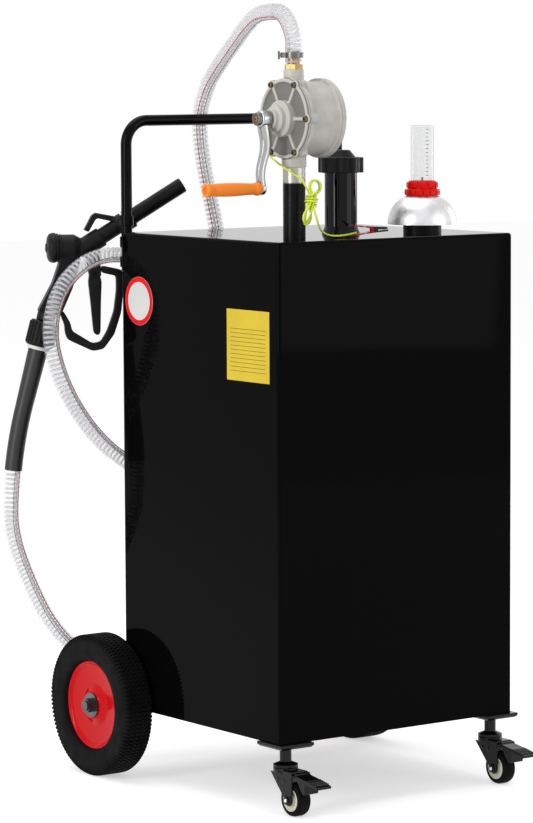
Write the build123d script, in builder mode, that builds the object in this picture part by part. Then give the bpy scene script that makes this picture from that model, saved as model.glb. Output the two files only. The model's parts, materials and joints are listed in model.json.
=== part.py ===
from build123d import *
from math import cos, pi, radians, sin, tan
import os

# Fuel caddy: a wheeled steel tank with a rotary hand pump, a clear hose, a nozzle and a level gauge.
# Frame: millimetres, +Z up, origin at the centre of the tank's flat underside.
# -Y is the plain front over the two casters, +Y the rear with the handle and the big wheels,
# and -X the side that the crank faces.

# Tank
tank_width = 440.0
tank_depth = 408.0
tank_height = 735.0
tank_sheet = 2.0
tank_corner_radius = 6.0
tank_lip_height = 7.0
tank_lip_radius = 5.0
ground_clearance = 107.0
fit_gap = 0.3
running_gap = 0.05
seat_gap = 0.25
overrun = 1.0

# Rear wheels and axle
wheel_radius = 110.0
tyre_width = 50.0
wheel_track = 500.0
wheel_setback = 22.0
rim_radius = 69.0
rim_wall = 2.5
rim_dish = 12.0
hub_radius = 20.0
hub_length = 34.0
shoulder_radius = 9.0
axle_radius = 8.0
axle_end = 9.0
washer_radius = 19.5
washer_thickness = 2.5
axle_cap_radius = 11.0
axle_cap_length = 9.0
bracket_spread = 330.0
bracket_thickness = 5.0
bracket_height = 46.0
bracket_foot = 30.0

# Front casters
caster_spread = 390.0
caster_setback = 22.0
caster_plate_side = 60.0
caster_plate_thickness = 7.0
caster_plate_chamfer = 3.0
stem_radius = 8.8
stem_collar_radius = 10.5
stem_collar_height = 2.5
raceway_radius = 18.5
raceway_height = 8.0
raceway_gap = 1.0
crown_height = 7.0
caster_trail = 25.0
caster_wheel_radius = 25.0
caster_wheel_width = 22.0
caster_rim_radius = 16.5
caster_bore_radius = 4.0
cheek_thickness = 2.5
cheek_gap = 1.2
cheek_eye_radius = 9.0
nut_radius = 6.5
nut_height = 5.0
rivet_radius = 2.2
rivet_height = 1.2
pedal_width = 26.0
pedal_thickness = 4.0
pedal_reach = 56.0
pedal_travel = 14.0
pedal_pin_radius = 1.6
pedal_rib_count = 5
pedal_rib_depth = 1.6

# Handle
handle_tube_radius = 8.5
handle_tube_wall = 1.5
handle_spread = 406.0
handle_rise = 170.0
handle_drop = 60.0
handle_bend_radius = 37.0
strap_width = 16.0
strap_thickness = 2.0
strap_foot = 12.0
strap_places_share = (0.26, 0.76)
strap_screw_radius = 3.5

# Rotary pump on its riser pipe
pump_x = -118.0
pump_y = -105.0
pump_rise = 176.0
pump_radius = 59.0
pump_drum_radius = 54.0
pump_front_reach = 20.0
pump_length = 73.5
cover_thickness = 8.0
flange_thickness = 6.0
back_plate_thickness = 8.0
chamber_radius = 46.0
chamber_offset = 3.0
rotor_radius = 38.0
vane_radius = 42.6
vane_depth = 13.0
vane_thickness = 4.0
vane_count = 4
end_float = 0.4
shaft_radius = 7.0
shaft_seat = 5.0
hub_step_radius = 27.0
hub_step_height = 8.0
hub_neck_radius = 20.0
hub_neck_height = 9.0
gland_radius = 15.0
gland_height = 8.0
rib_height = 4.0
rib_width = 5.0
cover_rim_width = 5.0
screw_count = 6
screw_circle_radius = 57.0
screw_ear_radius = 7.0
screw_head_radius = 4.8
screw_head_height = 4.0
riser_radius = 16.7
riser_bore = 13.4
riser_depth = 22.0
boss_radius = 18.3
boss_height = 13.0
boss_drop = 59.0
neck_radius = 15.0
neck_rise = 72.0
port_radius = 9.5
dip_radius = 13.4
dip_bore = 11.0
socket_radius = 21.0
socket_length = 30.0
dip_clearance = 25.0
strainer_radius = 17.0
strainer_height = 44.0
strainer_wall = 1.5
strainer_slots = 8

# Crank
crank_radius = 102.0
crank_width = 16.0
crank_thickness = 7.0
crank_bow = 9.0
crank_eye_radius = 12.0
crank_eye_gap = 1.5
crank_nut_radius = 9.0
crank_nut_length = 10.0
crank_disc_radius = 12.5
crank_disc_thickness = 6.0
grip_length = 98.0
grip_radius = 10.2
grip_waist_radius = 8.6
grip_bolt_radius = 4.0
grip_bolt_head = 6.0
grip_recess = 3.0

# Outlet, clamp and the bent start of the hose
hex_width = 25.0
hex_height = 7.5
barb_radius = 9.4
barb_bore = 6.5
barb_length = 20.0
barb_ridge = 0.6
barb_ridges = 3
hose_radius = 13.0
hose_wall = 3.4
cuff_bend_radius = 58.0
cuff_bend_angle = 88.0
cuff_bearing = 78.2
clamp_rise = 9.5
clamp_width = 8.0
clamp_thickness = 1.2
clamp_lug = 9.0
clamp_screw_radius = 2.2
clamp_wing_span = 12.0

# Filler
filler_x = 3.0
filler_y = -60.0
filler_radius = 24.6
filler_wall = 2.0
filler_height = 101.0
filler_foot_radius = 29.0
filler_foot_height = 12.0
filler_neck_height = 9.0
filler_neck_radius = 22.5
cap_radius = 34.5
cap_height = 23.0
cap_skirt_wall = 4.0
cap_lug_count = 8
cap_lug_radius = 7.0
cap_knob_radius = 22.5
cap_knob_top_radius = 13.5
cap_knob_height = 11.0
cap_lift = 60.0

# Level gauge
gauge_x = 120.0
gauge_y = -110.0
gauge_collar_radius = 29.0
gauge_collar_height = 13.0
gauge_dome_radius = 52.5
gauge_dome_height = 43.0
gauge_dome_top_radius = 24.0
gauge_dome_wall = 2.0
gauge_dome_bulge_share = 0.62
gauge_dome_side_share = 0.845
diagonal_share = 0.7
gauge_ring_radius = 23.0
gauge_ring_flange_radius = 27.0
gauge_ring_height = 9.0
gauge_ring_flange_height = 8.0
gauge_ring_rise = 62.0
gauge_tube_radius = 16.5
gauge_tube_wall = 1.6
gauge_tube_top = 163.0
gauge_tube_cap = 2.5
float_rod_radius = 1.6
float_guide = 3.0
float_rod_top = 84.0
float_radius = 15.0
float_height = 40.0
float_depth = 90.0
float_travel = 70.0

# Stickers on the crank side
sticker_thickness = 0.4
square_sticker_setback = 76.0
square_sticker_drop = 154.0
square_sticker_width = 106.0
square_sticker_height = 105.0
round_sticker_inset = 48.5
round_sticker_drop = 103.0
round_sticker_radius = 37.0

# Nozzle, hung behind the left leg of the handle, in an upright plane turned from the rear face
nozzle_inset = 27.5
nozzle_setback = 52.0
nozzle_turn = 27.0
nozzle_slope = 31.8
nozzle_axis_rise = 14.4
spout_radius = 12.5
spout_wall = 1.6
spout_tip = 89.0
outlet_end_radius = 12.0
outlet_end_place = 12.0
snout_radius = 15.5
snout_end = -38.0
snout_start = -66.0
spout_seat = 15.0
body_drop = 40.4
body_radius = 20.5
body_start = -106.0
body_end = -66.0
end_cap_radius = 23.5
end_cap_start = -124.0
end_cap_bolt_radius = 7.0
end_cap_bolt_height = 2.0
grip_thickness = 28.0
guard_width = 14.0
trigger_width = 12.0
trigger_pivot_s = -49.0
trigger_pivot_drop = 40.0
trigger_pin_radius = 2.5
trigger_angle = 12.0
cheek_plate = 3.0
valve_radius = 8.0
valve_stem_radius = 3.0
valve_travel = 6.0
hook_width = 16.0
hook_bar = 7.0
hook_collar_radius = 16.0
hook_collar_length = 13.0
hook_place = -14.0
nozzle_grip_back = 33.0
nozzle_grip_reach = 67.0
nozzle_grip_height = 105.0
nozzle_grip_shares = (
    (0.493, 1.000),
    (1.000, 1.000),
    (0.970, 0.743),
    (0.806, 0.410),
    (0.522, 0.000),
    (0.000, 0.081),
    (0.343, 0.486),
    (0.493, 0.767),
)
trigger_lug_back = 17.0
trigger_lug_drop = 5.0
trigger_lug_reach = 26.0
trigger_lug_height = 58.0
trigger_lug_shares = (
    (0.000, 0.828),
    (0.923, 1.000),
    (1.000, 0.000),
    (0.308, 0.000),
)
hook_back = 52.0
hook_rise = -7.7
hook_reach = 63.0
hook_height = 29.5
hook_shares = (
    (1.000, 0.678),
    (0.897, 0.746),
    (0.286, 1.000),
    (0.190, 0.864),
    (0.000, 0.102),
    (0.111, 0.000),
    (0.286, 0.644),
    (0.333, 0.712),
    (0.762, 0.508),
    (0.825, 0.339),
)
guard_back = 54.75
guard_drop = 121.0
guard_reach = 98.75
guard_height = 133.0
guard_shares = (
    (0.650, 1.000),
    (0.970, 0.947),
    (1.000, 0.902),
    (0.995, 0.692),
    (0.959, 0.451),
    (0.848, 0.195),
    (0.676, 0.023),
    (0.504, 0.000),
    (0.109, 0.139),
    (0.068, 0.218),
    (0.062, 0.316),
    (0.000, 0.420),
    (0.038, 0.484),
    (0.154, 0.338),
    (0.180, 0.241),
    (0.504, 0.090),
    (0.635, 0.109),
    (0.737, 0.241),
    (0.843, 0.466),
    (0.884, 0.707),
    (0.884, 0.876),
    (0.650, 0.914),
)
trigger_back = 11.0
trigger_drop = 96.0
trigger_reach = 21.0
trigger_height = 101.0
trigger_shares = (
    (0.143, 1.000),
    (0.762, 1.000),
    (1.000, 0.822),
    (0.929, 0.495),
    (0.881, 0.047),
    (0.762, 0.000),
    (0.524, 0.000),
    (0.357, 0.047),
    (0.167, 0.495),
    (0.000, 0.822),
)
holder_radius = 16.5
holder_length = 11.0
holder_place = 0.0
holder_gap = 0.6
swivel_s = -127.5
swivel_drop = 113.5
swivel_lean = 14.5
swivel_radius = 23.0
swivel_length = 40.0
swivel_ribs = 16
swivel_rib_radius = 1.6
swivel_neck_radius = 11.0
swivel_ring_radius = 17.5
swivel_ring_length = 5.0
sleeve_top_radius = 15.3
sleeve_end_radius = 13.6
sleeve_straight = 90.0
sleeve_bend = 8.5
sleeve_arc_radius = 688.0

# Ground wire and its clip
wire_radius = 1.5
wire_gap = 1.0
lead_run = 12.0
tail_run = 10.0
hank_loops = 3
hank_wraps = 3
hank_top_height = 31.0
hank_top_half_width = 12.0
hank_bottom_height = 36.0
hank_bottom_half_width = 5.5
hank_fan = 5.0
hank_entry_across = 13.5
hank_entry_up = 20.0
hank_exit_across = 5.0
hank_exit_drop = 10.0
hank_x = -124.0
hank_y = -150.0
hank_rise = 56.0
hank_tilt = 18.0
clip_rise = 2.2
clip_x = -12.0
clip_y = -150.0
clip_length = 64.0
clip_width = 10.0
clip_plate = 1.6
clip_open = 16.0
clip_pivot_radius = 2.2
clip_swing = 12.0
clip_crimp = 7.5

STANDING = (Align.CENTER, Align.CENTER, Align.MIN)
HANGING = (Align.CENTER, Align.CENTER, Align.MAX)
CENTRED = (Align.CENTER, Align.CENTER, Align.CENTER)
RADIUS_SHARE = 0.45

floor_z = -ground_clearance
rear_y = tank_depth / 2
front_y = -tank_depth / 2
side_x = tank_width / 2
half = 0.5

os.makedirs("parts", exist_ok=True)


def keep(piece, name):
    """Label a finished piece and write it as one STEP file."""
    piece.part.label = name
    export_step(piece.part, f"parts/{name}.step")


def level(x, y, z):
    """A level plane at a point."""
    return Plane(origin=(x, y, z))


def facing_x(x, y, z):
    """A plane whose normal is +X and whose own axes are Y and Z."""
    return Plane(origin=(x, y, z), x_dir=(0, 1, 0), z_dir=(1, 0, 0))


def facing_y(x, y, z):
    """A plane whose normal is -Y and whose own axes are X and Z."""
    return Plane(origin=(x, y, z), x_dir=(1, 0, 0), z_dir=(0, -1, 0))


def rod(plane, radius, length, mode=Mode.ADD):
    """A round bar that starts on a plane and runs along its normal."""
    with Locations(plane):
        Cylinder(radius, length, align=STANDING, mode=mode)


def tube(plane, radius, bore, length, mode=Mode.ADD):
    """A round tube that starts on a plane and runs along its normal."""
    with BuildSketch(plane) as ring:
        Circle(radius)
        Circle(bore, mode=Mode.SUBTRACT)
    extrude(ring.sketch, amount=length, mode=mode)


def slab(plane, width, depth, height, mode=Mode.ADD, align=CENTRED):
    """A box placed by a plane."""
    with Locations(plane):
        Box(width, depth, height, align=align, mode=mode)


def prism(plane, outline, thickness, mode=Mode.ADD, rounding=0):
    """A straight-sided piece from a closed outline, equally thick on both sides of its plane."""
    with BuildSketch(plane) as face:
        with BuildLine():
            Polyline(*outline, close=True)
        make_face()
        if rounding:
            fillet(face.vertices(), rounding)
    extrude(face.sketch, amount=thickness * half, both=True, mode=mode)


def shaped(shares, across, up, reach, height):
    """An outline from shares of a reach and a height, placed by its lower left corner."""
    return [(across + reach * share, up + height * rise) for share, rise in shares]


def turned(plane, outline, mode=Mode.ADD):
    """A piece turned about a plane's x axis, from a closed outline of places along it and radii."""
    with BuildSketch(plane) as profile:
        with BuildLine():
            Polyline(*outline, close=True)
        make_face()
    revolve(profile.sketch, axis=Axis(plane.origin, plane.x_dir), mode=mode)


def upright(x, y, z):
    """A plane whose x axis points up, for pieces turned about a vertical axis."""
    return Plane(origin=(x, y, z), x_dir=(0, 0, 1), z_dir=(0, -1, 0))


# Tank: a bottom sheet, a folded and welded four-sided shell, and a top tray with a rounded lip
with BuildPart() as tank_bottom:
    with BuildSketch():
        RectangleRounded(tank_width, tank_depth, tank_corner_radius)
    extrude(amount=tank_sheet)
keep(tank_bottom, "tank_bottom")

shell_height = tank_height - tank_lip_height - tank_sheet
with BuildPart() as tank_shell:
    with BuildSketch(level(0, 0, tank_sheet)):
        RectangleRounded(tank_width, tank_depth, tank_corner_radius)
        RectangleRounded(
            tank_width - 2 * tank_sheet,
            tank_depth - 2 * tank_sheet,
            tank_corner_radius - tank_sheet,
            mode=Mode.SUBTRACT,
        )
    extrude(amount=shell_height)
keep(tank_shell, "tank_shell")

with BuildPart() as tank_top:
    with BuildSketch(level(0, 0, tank_height - tank_lip_height)):
        RectangleRounded(tank_width, tank_depth, tank_corner_radius)
    extrude(amount=tank_lip_height)
    fillet(tank_top.faces().sort_by(Axis.Z)[-1].edges(), tank_lip_radius)
    with BuildSketch(level(0, 0, tank_height - tank_lip_height)):
        RectangleRounded(
            tank_width - 2 * tank_lip_radius,
            tank_depth - 2 * tank_lip_radius,
            tank_corner_radius - tank_sheet,
        )
    extrude(amount=tank_lip_height - tank_sheet, mode=Mode.SUBTRACT)
    rod(level(pump_x, pump_y, 0), riser_radius + fit_gap, tank_height, Mode.SUBTRACT)
    rod(level(filler_x, filler_y, 0), filler_radius - filler_wall, tank_height, Mode.SUBTRACT)
    rod(level(gauge_x, gauge_y, 0), gauge_tube_radius, tank_height, Mode.SUBTRACT)
keep(tank_top, "tank_top")

# Rear axle, its two welded brackets, and the washers and end caps that hold the wheels on
axle_y = rear_y + wheel_setback
axle_z = floor_z + wheel_radius
wheel_x = wheel_track * half
axle_half_length = wheel_x + hub_length * half + 2 * washer_thickness + axle_end

with BuildPart() as axle:
    rod(facing_x(-axle_half_length, axle_y, axle_z), axle_radius, 2 * axle_half_length)
keep(axle, "axle")

with BuildPart() as axle_brackets:
    for side in (-1, 1):
        bracket_x = side * bracket_spread * half
        eye_radius = axle_radius + bracket_thickness
        with BuildSketch(facing_x(bracket_x, axle_y, axle_z)) as cheek:
            Circle(eye_radius)
            with BuildLine():
                Polyline(
                    (0, eye_radius),
                    (-wheel_setback, bracket_height),
                    (-wheel_setback, bracket_thickness - axle_z),
                    (0, -eye_radius),
                    close=True,
                )
            make_face()
            Circle(axle_radius + running_gap, mode=Mode.SUBTRACT)
        extrude(cheek.sketch, amount=bracket_thickness * half, both=True)
        slab(
            level(bracket_x, rear_y, bracket_thickness),
            bracket_foot,
            bracket_thickness,
            bracket_height,
            align=(Align.CENTER, Align.MIN, Align.MIN),
        )
keep(axle_brackets, "axle_brackets")

hub_outer_x = wheel_x + hub_length * half
with BuildPart() as axle_fasteners:
    for side in (-1, 1):
        turn_x = 1 if side > 0 else -1
        for place in (hub_outer_x + seat_gap, -hub_outer_x + wheel_track - seat_gap - washer_thickness):
            outer = place if side > 0 else -place - washer_thickness
            tube(facing_x(outer, axle_y, axle_z), washer_radius, axle_radius + running_gap, washer_thickness)
        cap_start = hub_outer_x + seat_gap + washer_thickness
        cap_plane = Plane(
            origin=(side * cap_start, axle_y, axle_z), x_dir=(0, turn_x, 0), z_dir=(side, 0, 0)
        )
        tube(cap_plane, axle_cap_radius, axle_radius + running_gap, axle_cap_length)
keep(axle_fasteners, "axle_fasteners")

# Rear wheels: a pressed rim with a hub tube, and a tyre on it
tyre_half = tyre_width * half
for name, side in (("left", -1), ("right", 1)):
    wheel_plane = Plane(
        origin=(side * wheel_x, axle_y, axle_z), x_dir=(side, 0, 0), z_dir=(0, -side, 0)
    )
    bead = tyre_half - shoulder_radius
    with BuildPart() as tyre:
        turned(
            wheel_plane,
            (
                (-bead, rim_radius),
                (bead, rim_radius),
                (tyre_half - rim_wall, rim_radius + rim_wall),
                (tyre_half, rim_radius + shoulder_radius),
                (tyre_half, wheel_radius - shoulder_radius),
                (tyre_half - shoulder_radius * half, wheel_radius - rim_wall),
                (bead, wheel_radius),
                (-bead, wheel_radius),
                (shoulder_radius * half - tyre_half, wheel_radius - rim_wall),
                (-tyre_half, wheel_radius - shoulder_radius),
                (-tyre_half, rim_radius + shoulder_radius),
                (rim_wall - tyre_half, rim_radius + rim_wall),
            ),
        )
    keep(tyre, f"tyre_{name}")

    lip_radius = rim_radius - fit_gap
    floor_radius = lip_radius - 2 * rim_wall
    dish_x = tyre_half - rim_dish
    hub_half = hub_length * half
    with BuildPart() as rim:
        turned(
            wheel_plane,
            (
                (-bead, lip_radius),
                (bead, lip_radius),
                (bead, lip_radius - rim_wall),
                (dish_x, floor_radius - rim_wall),
                (dish_x - rim_wall, hub_radius + rim_dish),
                (hub_half - rim_wall, hub_radius),
                (hub_half, hub_radius - rim_wall),
                (hub_half, axle_radius + running_gap),
                (-hub_half, axle_radius + running_gap),
                (-hub_half, hub_radius - rim_wall),
                (rim_wall - hub_half, hub_radius),
                (rim_wall - dish_x, hub_radius + rim_dish),
                (-dish_x, floor_radius - rim_wall),
                (-bead, lip_radius - rim_wall),
            ),
        )
    keep(rim, f"rim_{name}")

# Casters: a welded plate and a stem with the fixed raceway, then for each side a fork that swivels,
# its wheel, and the brake pedal
caster_y = front_y + caster_setback
stem_top = -caster_plate_thickness
caster_axle_z = floor_z + caster_wheel_radius
crown_top = caster_axle_z + caster_wheel_radius + crown_height + 2 * cheek_thickness + 6 * cheek_gap
raceway_top = crown_top + raceway_gap + raceway_height

with BuildPart() as caster_plates:
    for side in (-1, 1):
        slab(
            level(side * caster_spread * half, caster_y, 0),
            caster_plate_side,
            caster_plate_side,
            caster_plate_thickness,
            align=HANGING,
        )
    chamfer(caster_plates.faces().group_by(Axis.Z)[0].edges(), caster_plate_chamfer)
keep(caster_plates, "caster_plates")

with BuildPart() as caster_stems:
    for side in (-1, 1):
        stem_x = side * caster_spread * half
        turned(
            upright(stem_x, caster_y, 0),
            (
                (stem_top, 0),
                (stem_top, stem_collar_radius),
                (stem_top - stem_collar_height, stem_collar_radius),
                (stem_top - 2 * stem_collar_height, stem_radius),
                (raceway_top, stem_radius),
                (raceway_top - raceway_height * half, raceway_radius),
                (raceway_top - raceway_height, raceway_radius),
                (raceway_top - raceway_height, stem_radius - running_gap),
                (crown_top - crown_height, stem_radius - running_gap),
                (crown_top - crown_height, 0),
            ),
        )
keep(caster_stems, "caster_stems")

cheek_inner = caster_wheel_width * half + cheek_gap
cheek_outer = cheek_inner + cheek_thickness
for name, side in (("left", -1), ("right", 1)):
    fork_x = side * caster_spread * half
    wheel_y = caster_y - caster_trail
    crown_bottom = crown_top - crown_height
    reach = raceway_radius * half
    fork_front = wheel_y - reach
    pedal_y = fork_front - pedal_thickness - seat_gap
    pedal_z = crown_bottom
    with BuildPart() as fork:
        rod(level(fork_x, caster_y, crown_bottom), raceway_radius, crown_height)
        slab(
            level(fork_x, caster_y - caster_trail * half, crown_bottom),
            2 * cheek_outer,
            caster_trail + raceway_radius,
            2 * cheek_thickness,
            align=STANDING,
        )
        for flank in (-1, 1):
            cheek_x = fork_x + flank * (cheek_inner + cheek_thickness * half)
            with BuildSketch(facing_x(cheek_x, wheel_y, caster_axle_z)) as cheek:
                Circle(cheek_eye_radius)
                with BuildLine():
                    Polyline(
                        (cheek_eye_radius, 0),
                        (caster_trail + raceway_radius, crown_bottom - caster_axle_z),
                        (-reach, crown_bottom - caster_axle_z),
                        (-cheek_eye_radius, 0),
                        close=True,
                    )
                make_face()
            extrude(cheek.sketch, amount=cheek_thickness * half, both=True)
        rod(
            level(fork_x, caster_y, crown_bottom - overrun),
            stem_radius,
            crown_height + 2 * overrun,
            Mode.SUBTRACT,
        )
        axle_reach = cheek_outer + nut_height
        rod(facing_x(fork_x - axle_reach, wheel_y, caster_axle_z), caster_bore_radius, 2 * axle_reach)
        for nut_x in (fork_x - axle_reach, fork_x + cheek_outer):
            with BuildSketch(facing_x(nut_x, wheel_y, caster_axle_z)) as nut:
                RegularPolygon(nut_radius, 6)
            extrude(nut.sketch, amount=nut_height)
            ear_plane = facing_x(cheek_x, pedal_y, pedal_z)
            rod(ear_plane.offset(-cheek_thickness * half), pedal_thickness, cheek_thickness)
            ear_length = fork_front - pedal_y + cheek_thickness
            slab(
                level(cheek_x, pedal_y + ear_length * half, pedal_z),
                cheek_thickness,
                ear_length,
                2 * pedal_thickness,
            )
        pin_reach = cheek_outer + rivet_height
        rod(
            facing_x(fork_x - pin_reach, pedal_y, pedal_z),
            pedal_pin_radius + seat_gap * half,
            2 * pin_reach,
            Mode.SUBTRACT,
        )
        for rivet_y, rivet_z in ((reach, -reach), (-reach * half, -reach)):
            rivet_plane = facing_x(
                fork_x - cheek_outer - rivet_height, caster_y + rivet_y - reach, crown_bottom + rivet_z
            )
            rod(rivet_plane, rivet_radius, rivet_height)
    keep(fork, f"caster_fork_{name}")

    with BuildPart() as caster_wheel:
        half_tread = caster_wheel_width * half
        crowned = caster_wheel_radius - rim_wall
        turned(
            Plane(origin=(fork_x, wheel_y, caster_axle_z), x_dir=(1, 0, 0), z_dir=(0, -1, 0)),
            (
                (-half_tread, caster_rim_radius + fit_gap),
                (half_tread, caster_rim_radius + fit_gap),
                (half_tread, crowned),
                (half_tread - rim_wall, caster_wheel_radius),
                (rim_wall - half_tread, caster_wheel_radius),
                (-half_tread, crowned),
            ),
        )
        turned(
            Plane(origin=(fork_x, wheel_y, caster_axle_z), x_dir=(1, 0, 0), z_dir=(0, -1, 0)),
            (
                (-half_tread, caster_bore_radius + running_gap),
                (half_tread, caster_bore_radius + running_gap),
                (half_tread, cheek_eye_radius),
                (half_tread - rim_wall, cheek_eye_radius + rim_wall),
                (half_tread - rim_wall, caster_rim_radius - rim_wall),
                (half_tread, caster_rim_radius),
                (-half_tread, caster_rim_radius),
                (rim_wall - half_tread, caster_rim_radius - rim_wall),
                (rim_wall - half_tread, cheek_eye_radius + rim_wall),
                (-half_tread, cheek_eye_radius),
            ),
        )
    keep(caster_wheel, f"caster_wheel_{name}")

    with BuildPart() as pedal:
        prism(
            facing_x(fork_x, pedal_y, pedal_z),
            (
                (0, pedal_thickness * half),
                (-pedal_reach * half, pedal_thickness * half - pedal_thickness),
                (-pedal_reach, -2 * pedal_thickness),
                (-pedal_reach, -3 * pedal_thickness),
                (-pedal_reach * half, -2 * pedal_thickness),
                (-pedal_reach * half + pedal_thickness, -6 * pedal_thickness),
                (-pedal_reach * half + 2 * pedal_thickness, -6 * pedal_thickness),
                (-2 * pedal_thickness, -2 * pedal_thickness),
                (0, -pedal_thickness),
            ),
            pedal_width,
        )
        hub_half = cheek_inner - fit_gap
        notch = pedal_thickness + fit_gap
        for flank in (-1, 1):
            slab(
                level(fork_x + flank * (hub_half + pedal_width * half), pedal_y, pedal_z),
                pedal_width,
                2 * notch,
                2 * pedal_thickness + 2 * notch,
                Mode.SUBTRACT,
            )
        rod(facing_x(fork_x - hub_half, pedal_y, pedal_z), pedal_thickness, 2 * hub_half)
        rod(facing_x(fork_x - pin_reach, pedal_y, pedal_z), pedal_pin_radius, 2 * pin_reach)
        rib_pitch = pedal_reach * half / (pedal_rib_count + 1)
        for index in range(pedal_rib_count):
            rib_y = pedal_y - pedal_reach * half - (index + half) * rib_pitch
            rib_z = pedal_z - pedal_thickness * (half + (index + half) / pedal_rib_count)
            slab(
                level(fork_x, rib_y, rib_z),
                pedal_width,
                rib_pitch * half,
                pedal_rib_depth,
                Mode.ADD,
            )
    keep(pedal, f"brake_pedal_{name}")

# Handle: one bent tube whose legs run down behind the rear face, held by screwed saddle straps
handle_y = rear_y + handle_tube_radius + seat_gap
handle_x = handle_spread * half
handle_top = tank_height + handle_rise
handle_foot = tank_height - handle_drop

with BuildPart() as handle:
    with BuildLine():
        FilletPolyline(
            (-handle_x, handle_y, handle_foot),
            (-handle_x, handle_y, handle_top),
            (handle_x, handle_y, handle_top),
            (handle_x, handle_y, handle_foot),
            radius=handle_bend_radius,
        )
    with BuildSketch(level(-handle_x, handle_y, handle_foot)):
        Circle(handle_tube_radius)
        Circle(handle_tube_radius - handle_tube_wall, mode=Mode.SUBTRACT)
    sweep()
keep(handle, "handle")

with BuildPart() as handle_straps:
    for side in (-1, 1):
        for place_share in strap_places_share:
            strap_z = handle_foot + (1 - place_share) * handle_drop
            outer_radius = handle_tube_radius + seat_gap + strap_thickness
            with BuildSketch(level(side * handle_x, handle_y, strap_z)) as band:
                Circle(outer_radius)
                foot_reach = outer_radius + strap_foot
                with Locations((-side * foot_reach * half, strap_thickness * half - handle_tube_radius - seat_gap)):
                    Rectangle(foot_reach, strap_thickness)
                Circle(handle_tube_radius + seat_gap, mode=Mode.SUBTRACT)
                with Locations((0, -handle_tube_radius - seat_gap)):
                    Rectangle(2 * outer_radius, 2 * strap_thickness, mode=Mode.SUBTRACT)
            extrude(band.sketch, amount=strap_width * half, both=True)
            screw_x = side * (handle_x - outer_radius - strap_foot * half)
            screw_plane = Plane(
                origin=(screw_x, rear_y + strap_thickness, strap_z), x_dir=(1, 0, 0), z_dir=(0, 1, 0)
            )
            rod(screw_plane, strap_screw_radius, strap_thickness)
keep(handle_straps, "handle_straps")

# Riser pipe through the tank's top, and the dip tube that hangs from its socket inside
pump_z = tank_height + pump_rise
riser_top = pump_z - boss_drop - boss_height
with BuildPart() as riser_pipe:
    tube(
        level(pump_x, pump_y, tank_height - riser_depth),
        riser_radius,
        riser_bore,
        riser_top - tank_height + riser_depth,
    )
keep(riser_pipe, "riser_pipe")

dip_top = tank_height - tank_sheet
with BuildPart() as dip_tube:
    turned(
        upright(pump_x, pump_y, 0),
        (
            (dip_top, riser_radius + seat_gap),
            (dip_top, socket_radius),
            (dip_top - socket_length, socket_radius),
            (dip_top - socket_length, dip_radius),
            (dip_clearance, dip_radius),
            (dip_clearance, dip_bore),
            (tank_height - riser_depth, dip_bore),
            (tank_height - riser_depth, riser_radius + seat_gap),
        ),
    )
    turned(
        upright(pump_x, pump_y, 0),
        (
            (tank_sheet + seat_gap, 0),
            (tank_sheet + seat_gap, strainer_radius),
            (tank_sheet + strainer_height, strainer_radius),
            (tank_sheet + strainer_height, dip_radius + seat_gap),
            (tank_sheet + strainer_height - strainer_wall, dip_radius + seat_gap),
            (tank_sheet + strainer_height - strainer_wall, strainer_radius - strainer_wall),
            (tank_sheet + seat_gap + strainer_wall, strainer_radius - strainer_wall),
            (tank_sheet + seat_gap + strainer_wall, 0),
        ),
    )
    slot_height = dip_clearance - tank_sheet - 2 * strainer_wall
    with Locations(level(pump_x, pump_y, tank_sheet + 2 * strainer_wall)):
        with PolarLocations(strainer_radius, strainer_slots):
            Box(
                4 * strainer_wall,
                2 * strainer_wall,
                slot_height - strainer_wall,
                align=STANDING,
                mode=Mode.SUBTRACT,
            )
keep(dip_tube, "dip_tube")

# Pump body: a drum with a round boss below and an outlet neck above
face_x = pump_x - pump_front_reach
drum_start = face_x + cover_thickness
back_x = face_x + pump_length
drum_end = back_x - back_plate_thickness

with BuildPart() as pump_body:
    rod(facing_x(drum_start, pump_y, pump_z), pump_drum_radius, drum_end - drum_start)
    rod(facing_x(drum_start, pump_y, pump_z), pump_radius, flange_thickness)
    rod(facing_x(drum_end - flange_thickness * half, pump_y, pump_z), pump_radius, flange_thickness * half)
    rod(level(pump_x, pump_y, riser_top), boss_radius, pump_z - riser_top)
    rod(level(pump_x, pump_y, pump_z), neck_radius, neck_rise)
    for index in range(screw_count):
        ear_angle = radians(index * 360 / screw_count)
        ear_y = pump_y + screw_circle_radius * cos(ear_angle)
        ear_z = pump_z + screw_circle_radius * sin(ear_angle)
        rod(facing_x(drum_start, ear_y, ear_z), screw_ear_radius, 2 * flange_thickness)
    rod(
        facing_x(drum_start - boss_radius, pump_y, pump_z),
        pump_radius + seat_gap,
        boss_radius,
        Mode.SUBTRACT,
    )
    rod(
        facing_x(drum_start - overrun, pump_y, pump_z + chamber_offset),
        chamber_radius,
        drum_end - drum_start + 2 * overrun,
        Mode.SUBTRACT,
    )
    rod(level(pump_x, pump_y, pump_z), port_radius, neck_rise + overrun, Mode.SUBTRACT)
    rod(level(pump_x, pump_y, riser_top - overrun), port_radius, pump_z - riser_top, Mode.SUBTRACT)
keep(pump_body, "pump_body")

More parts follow.
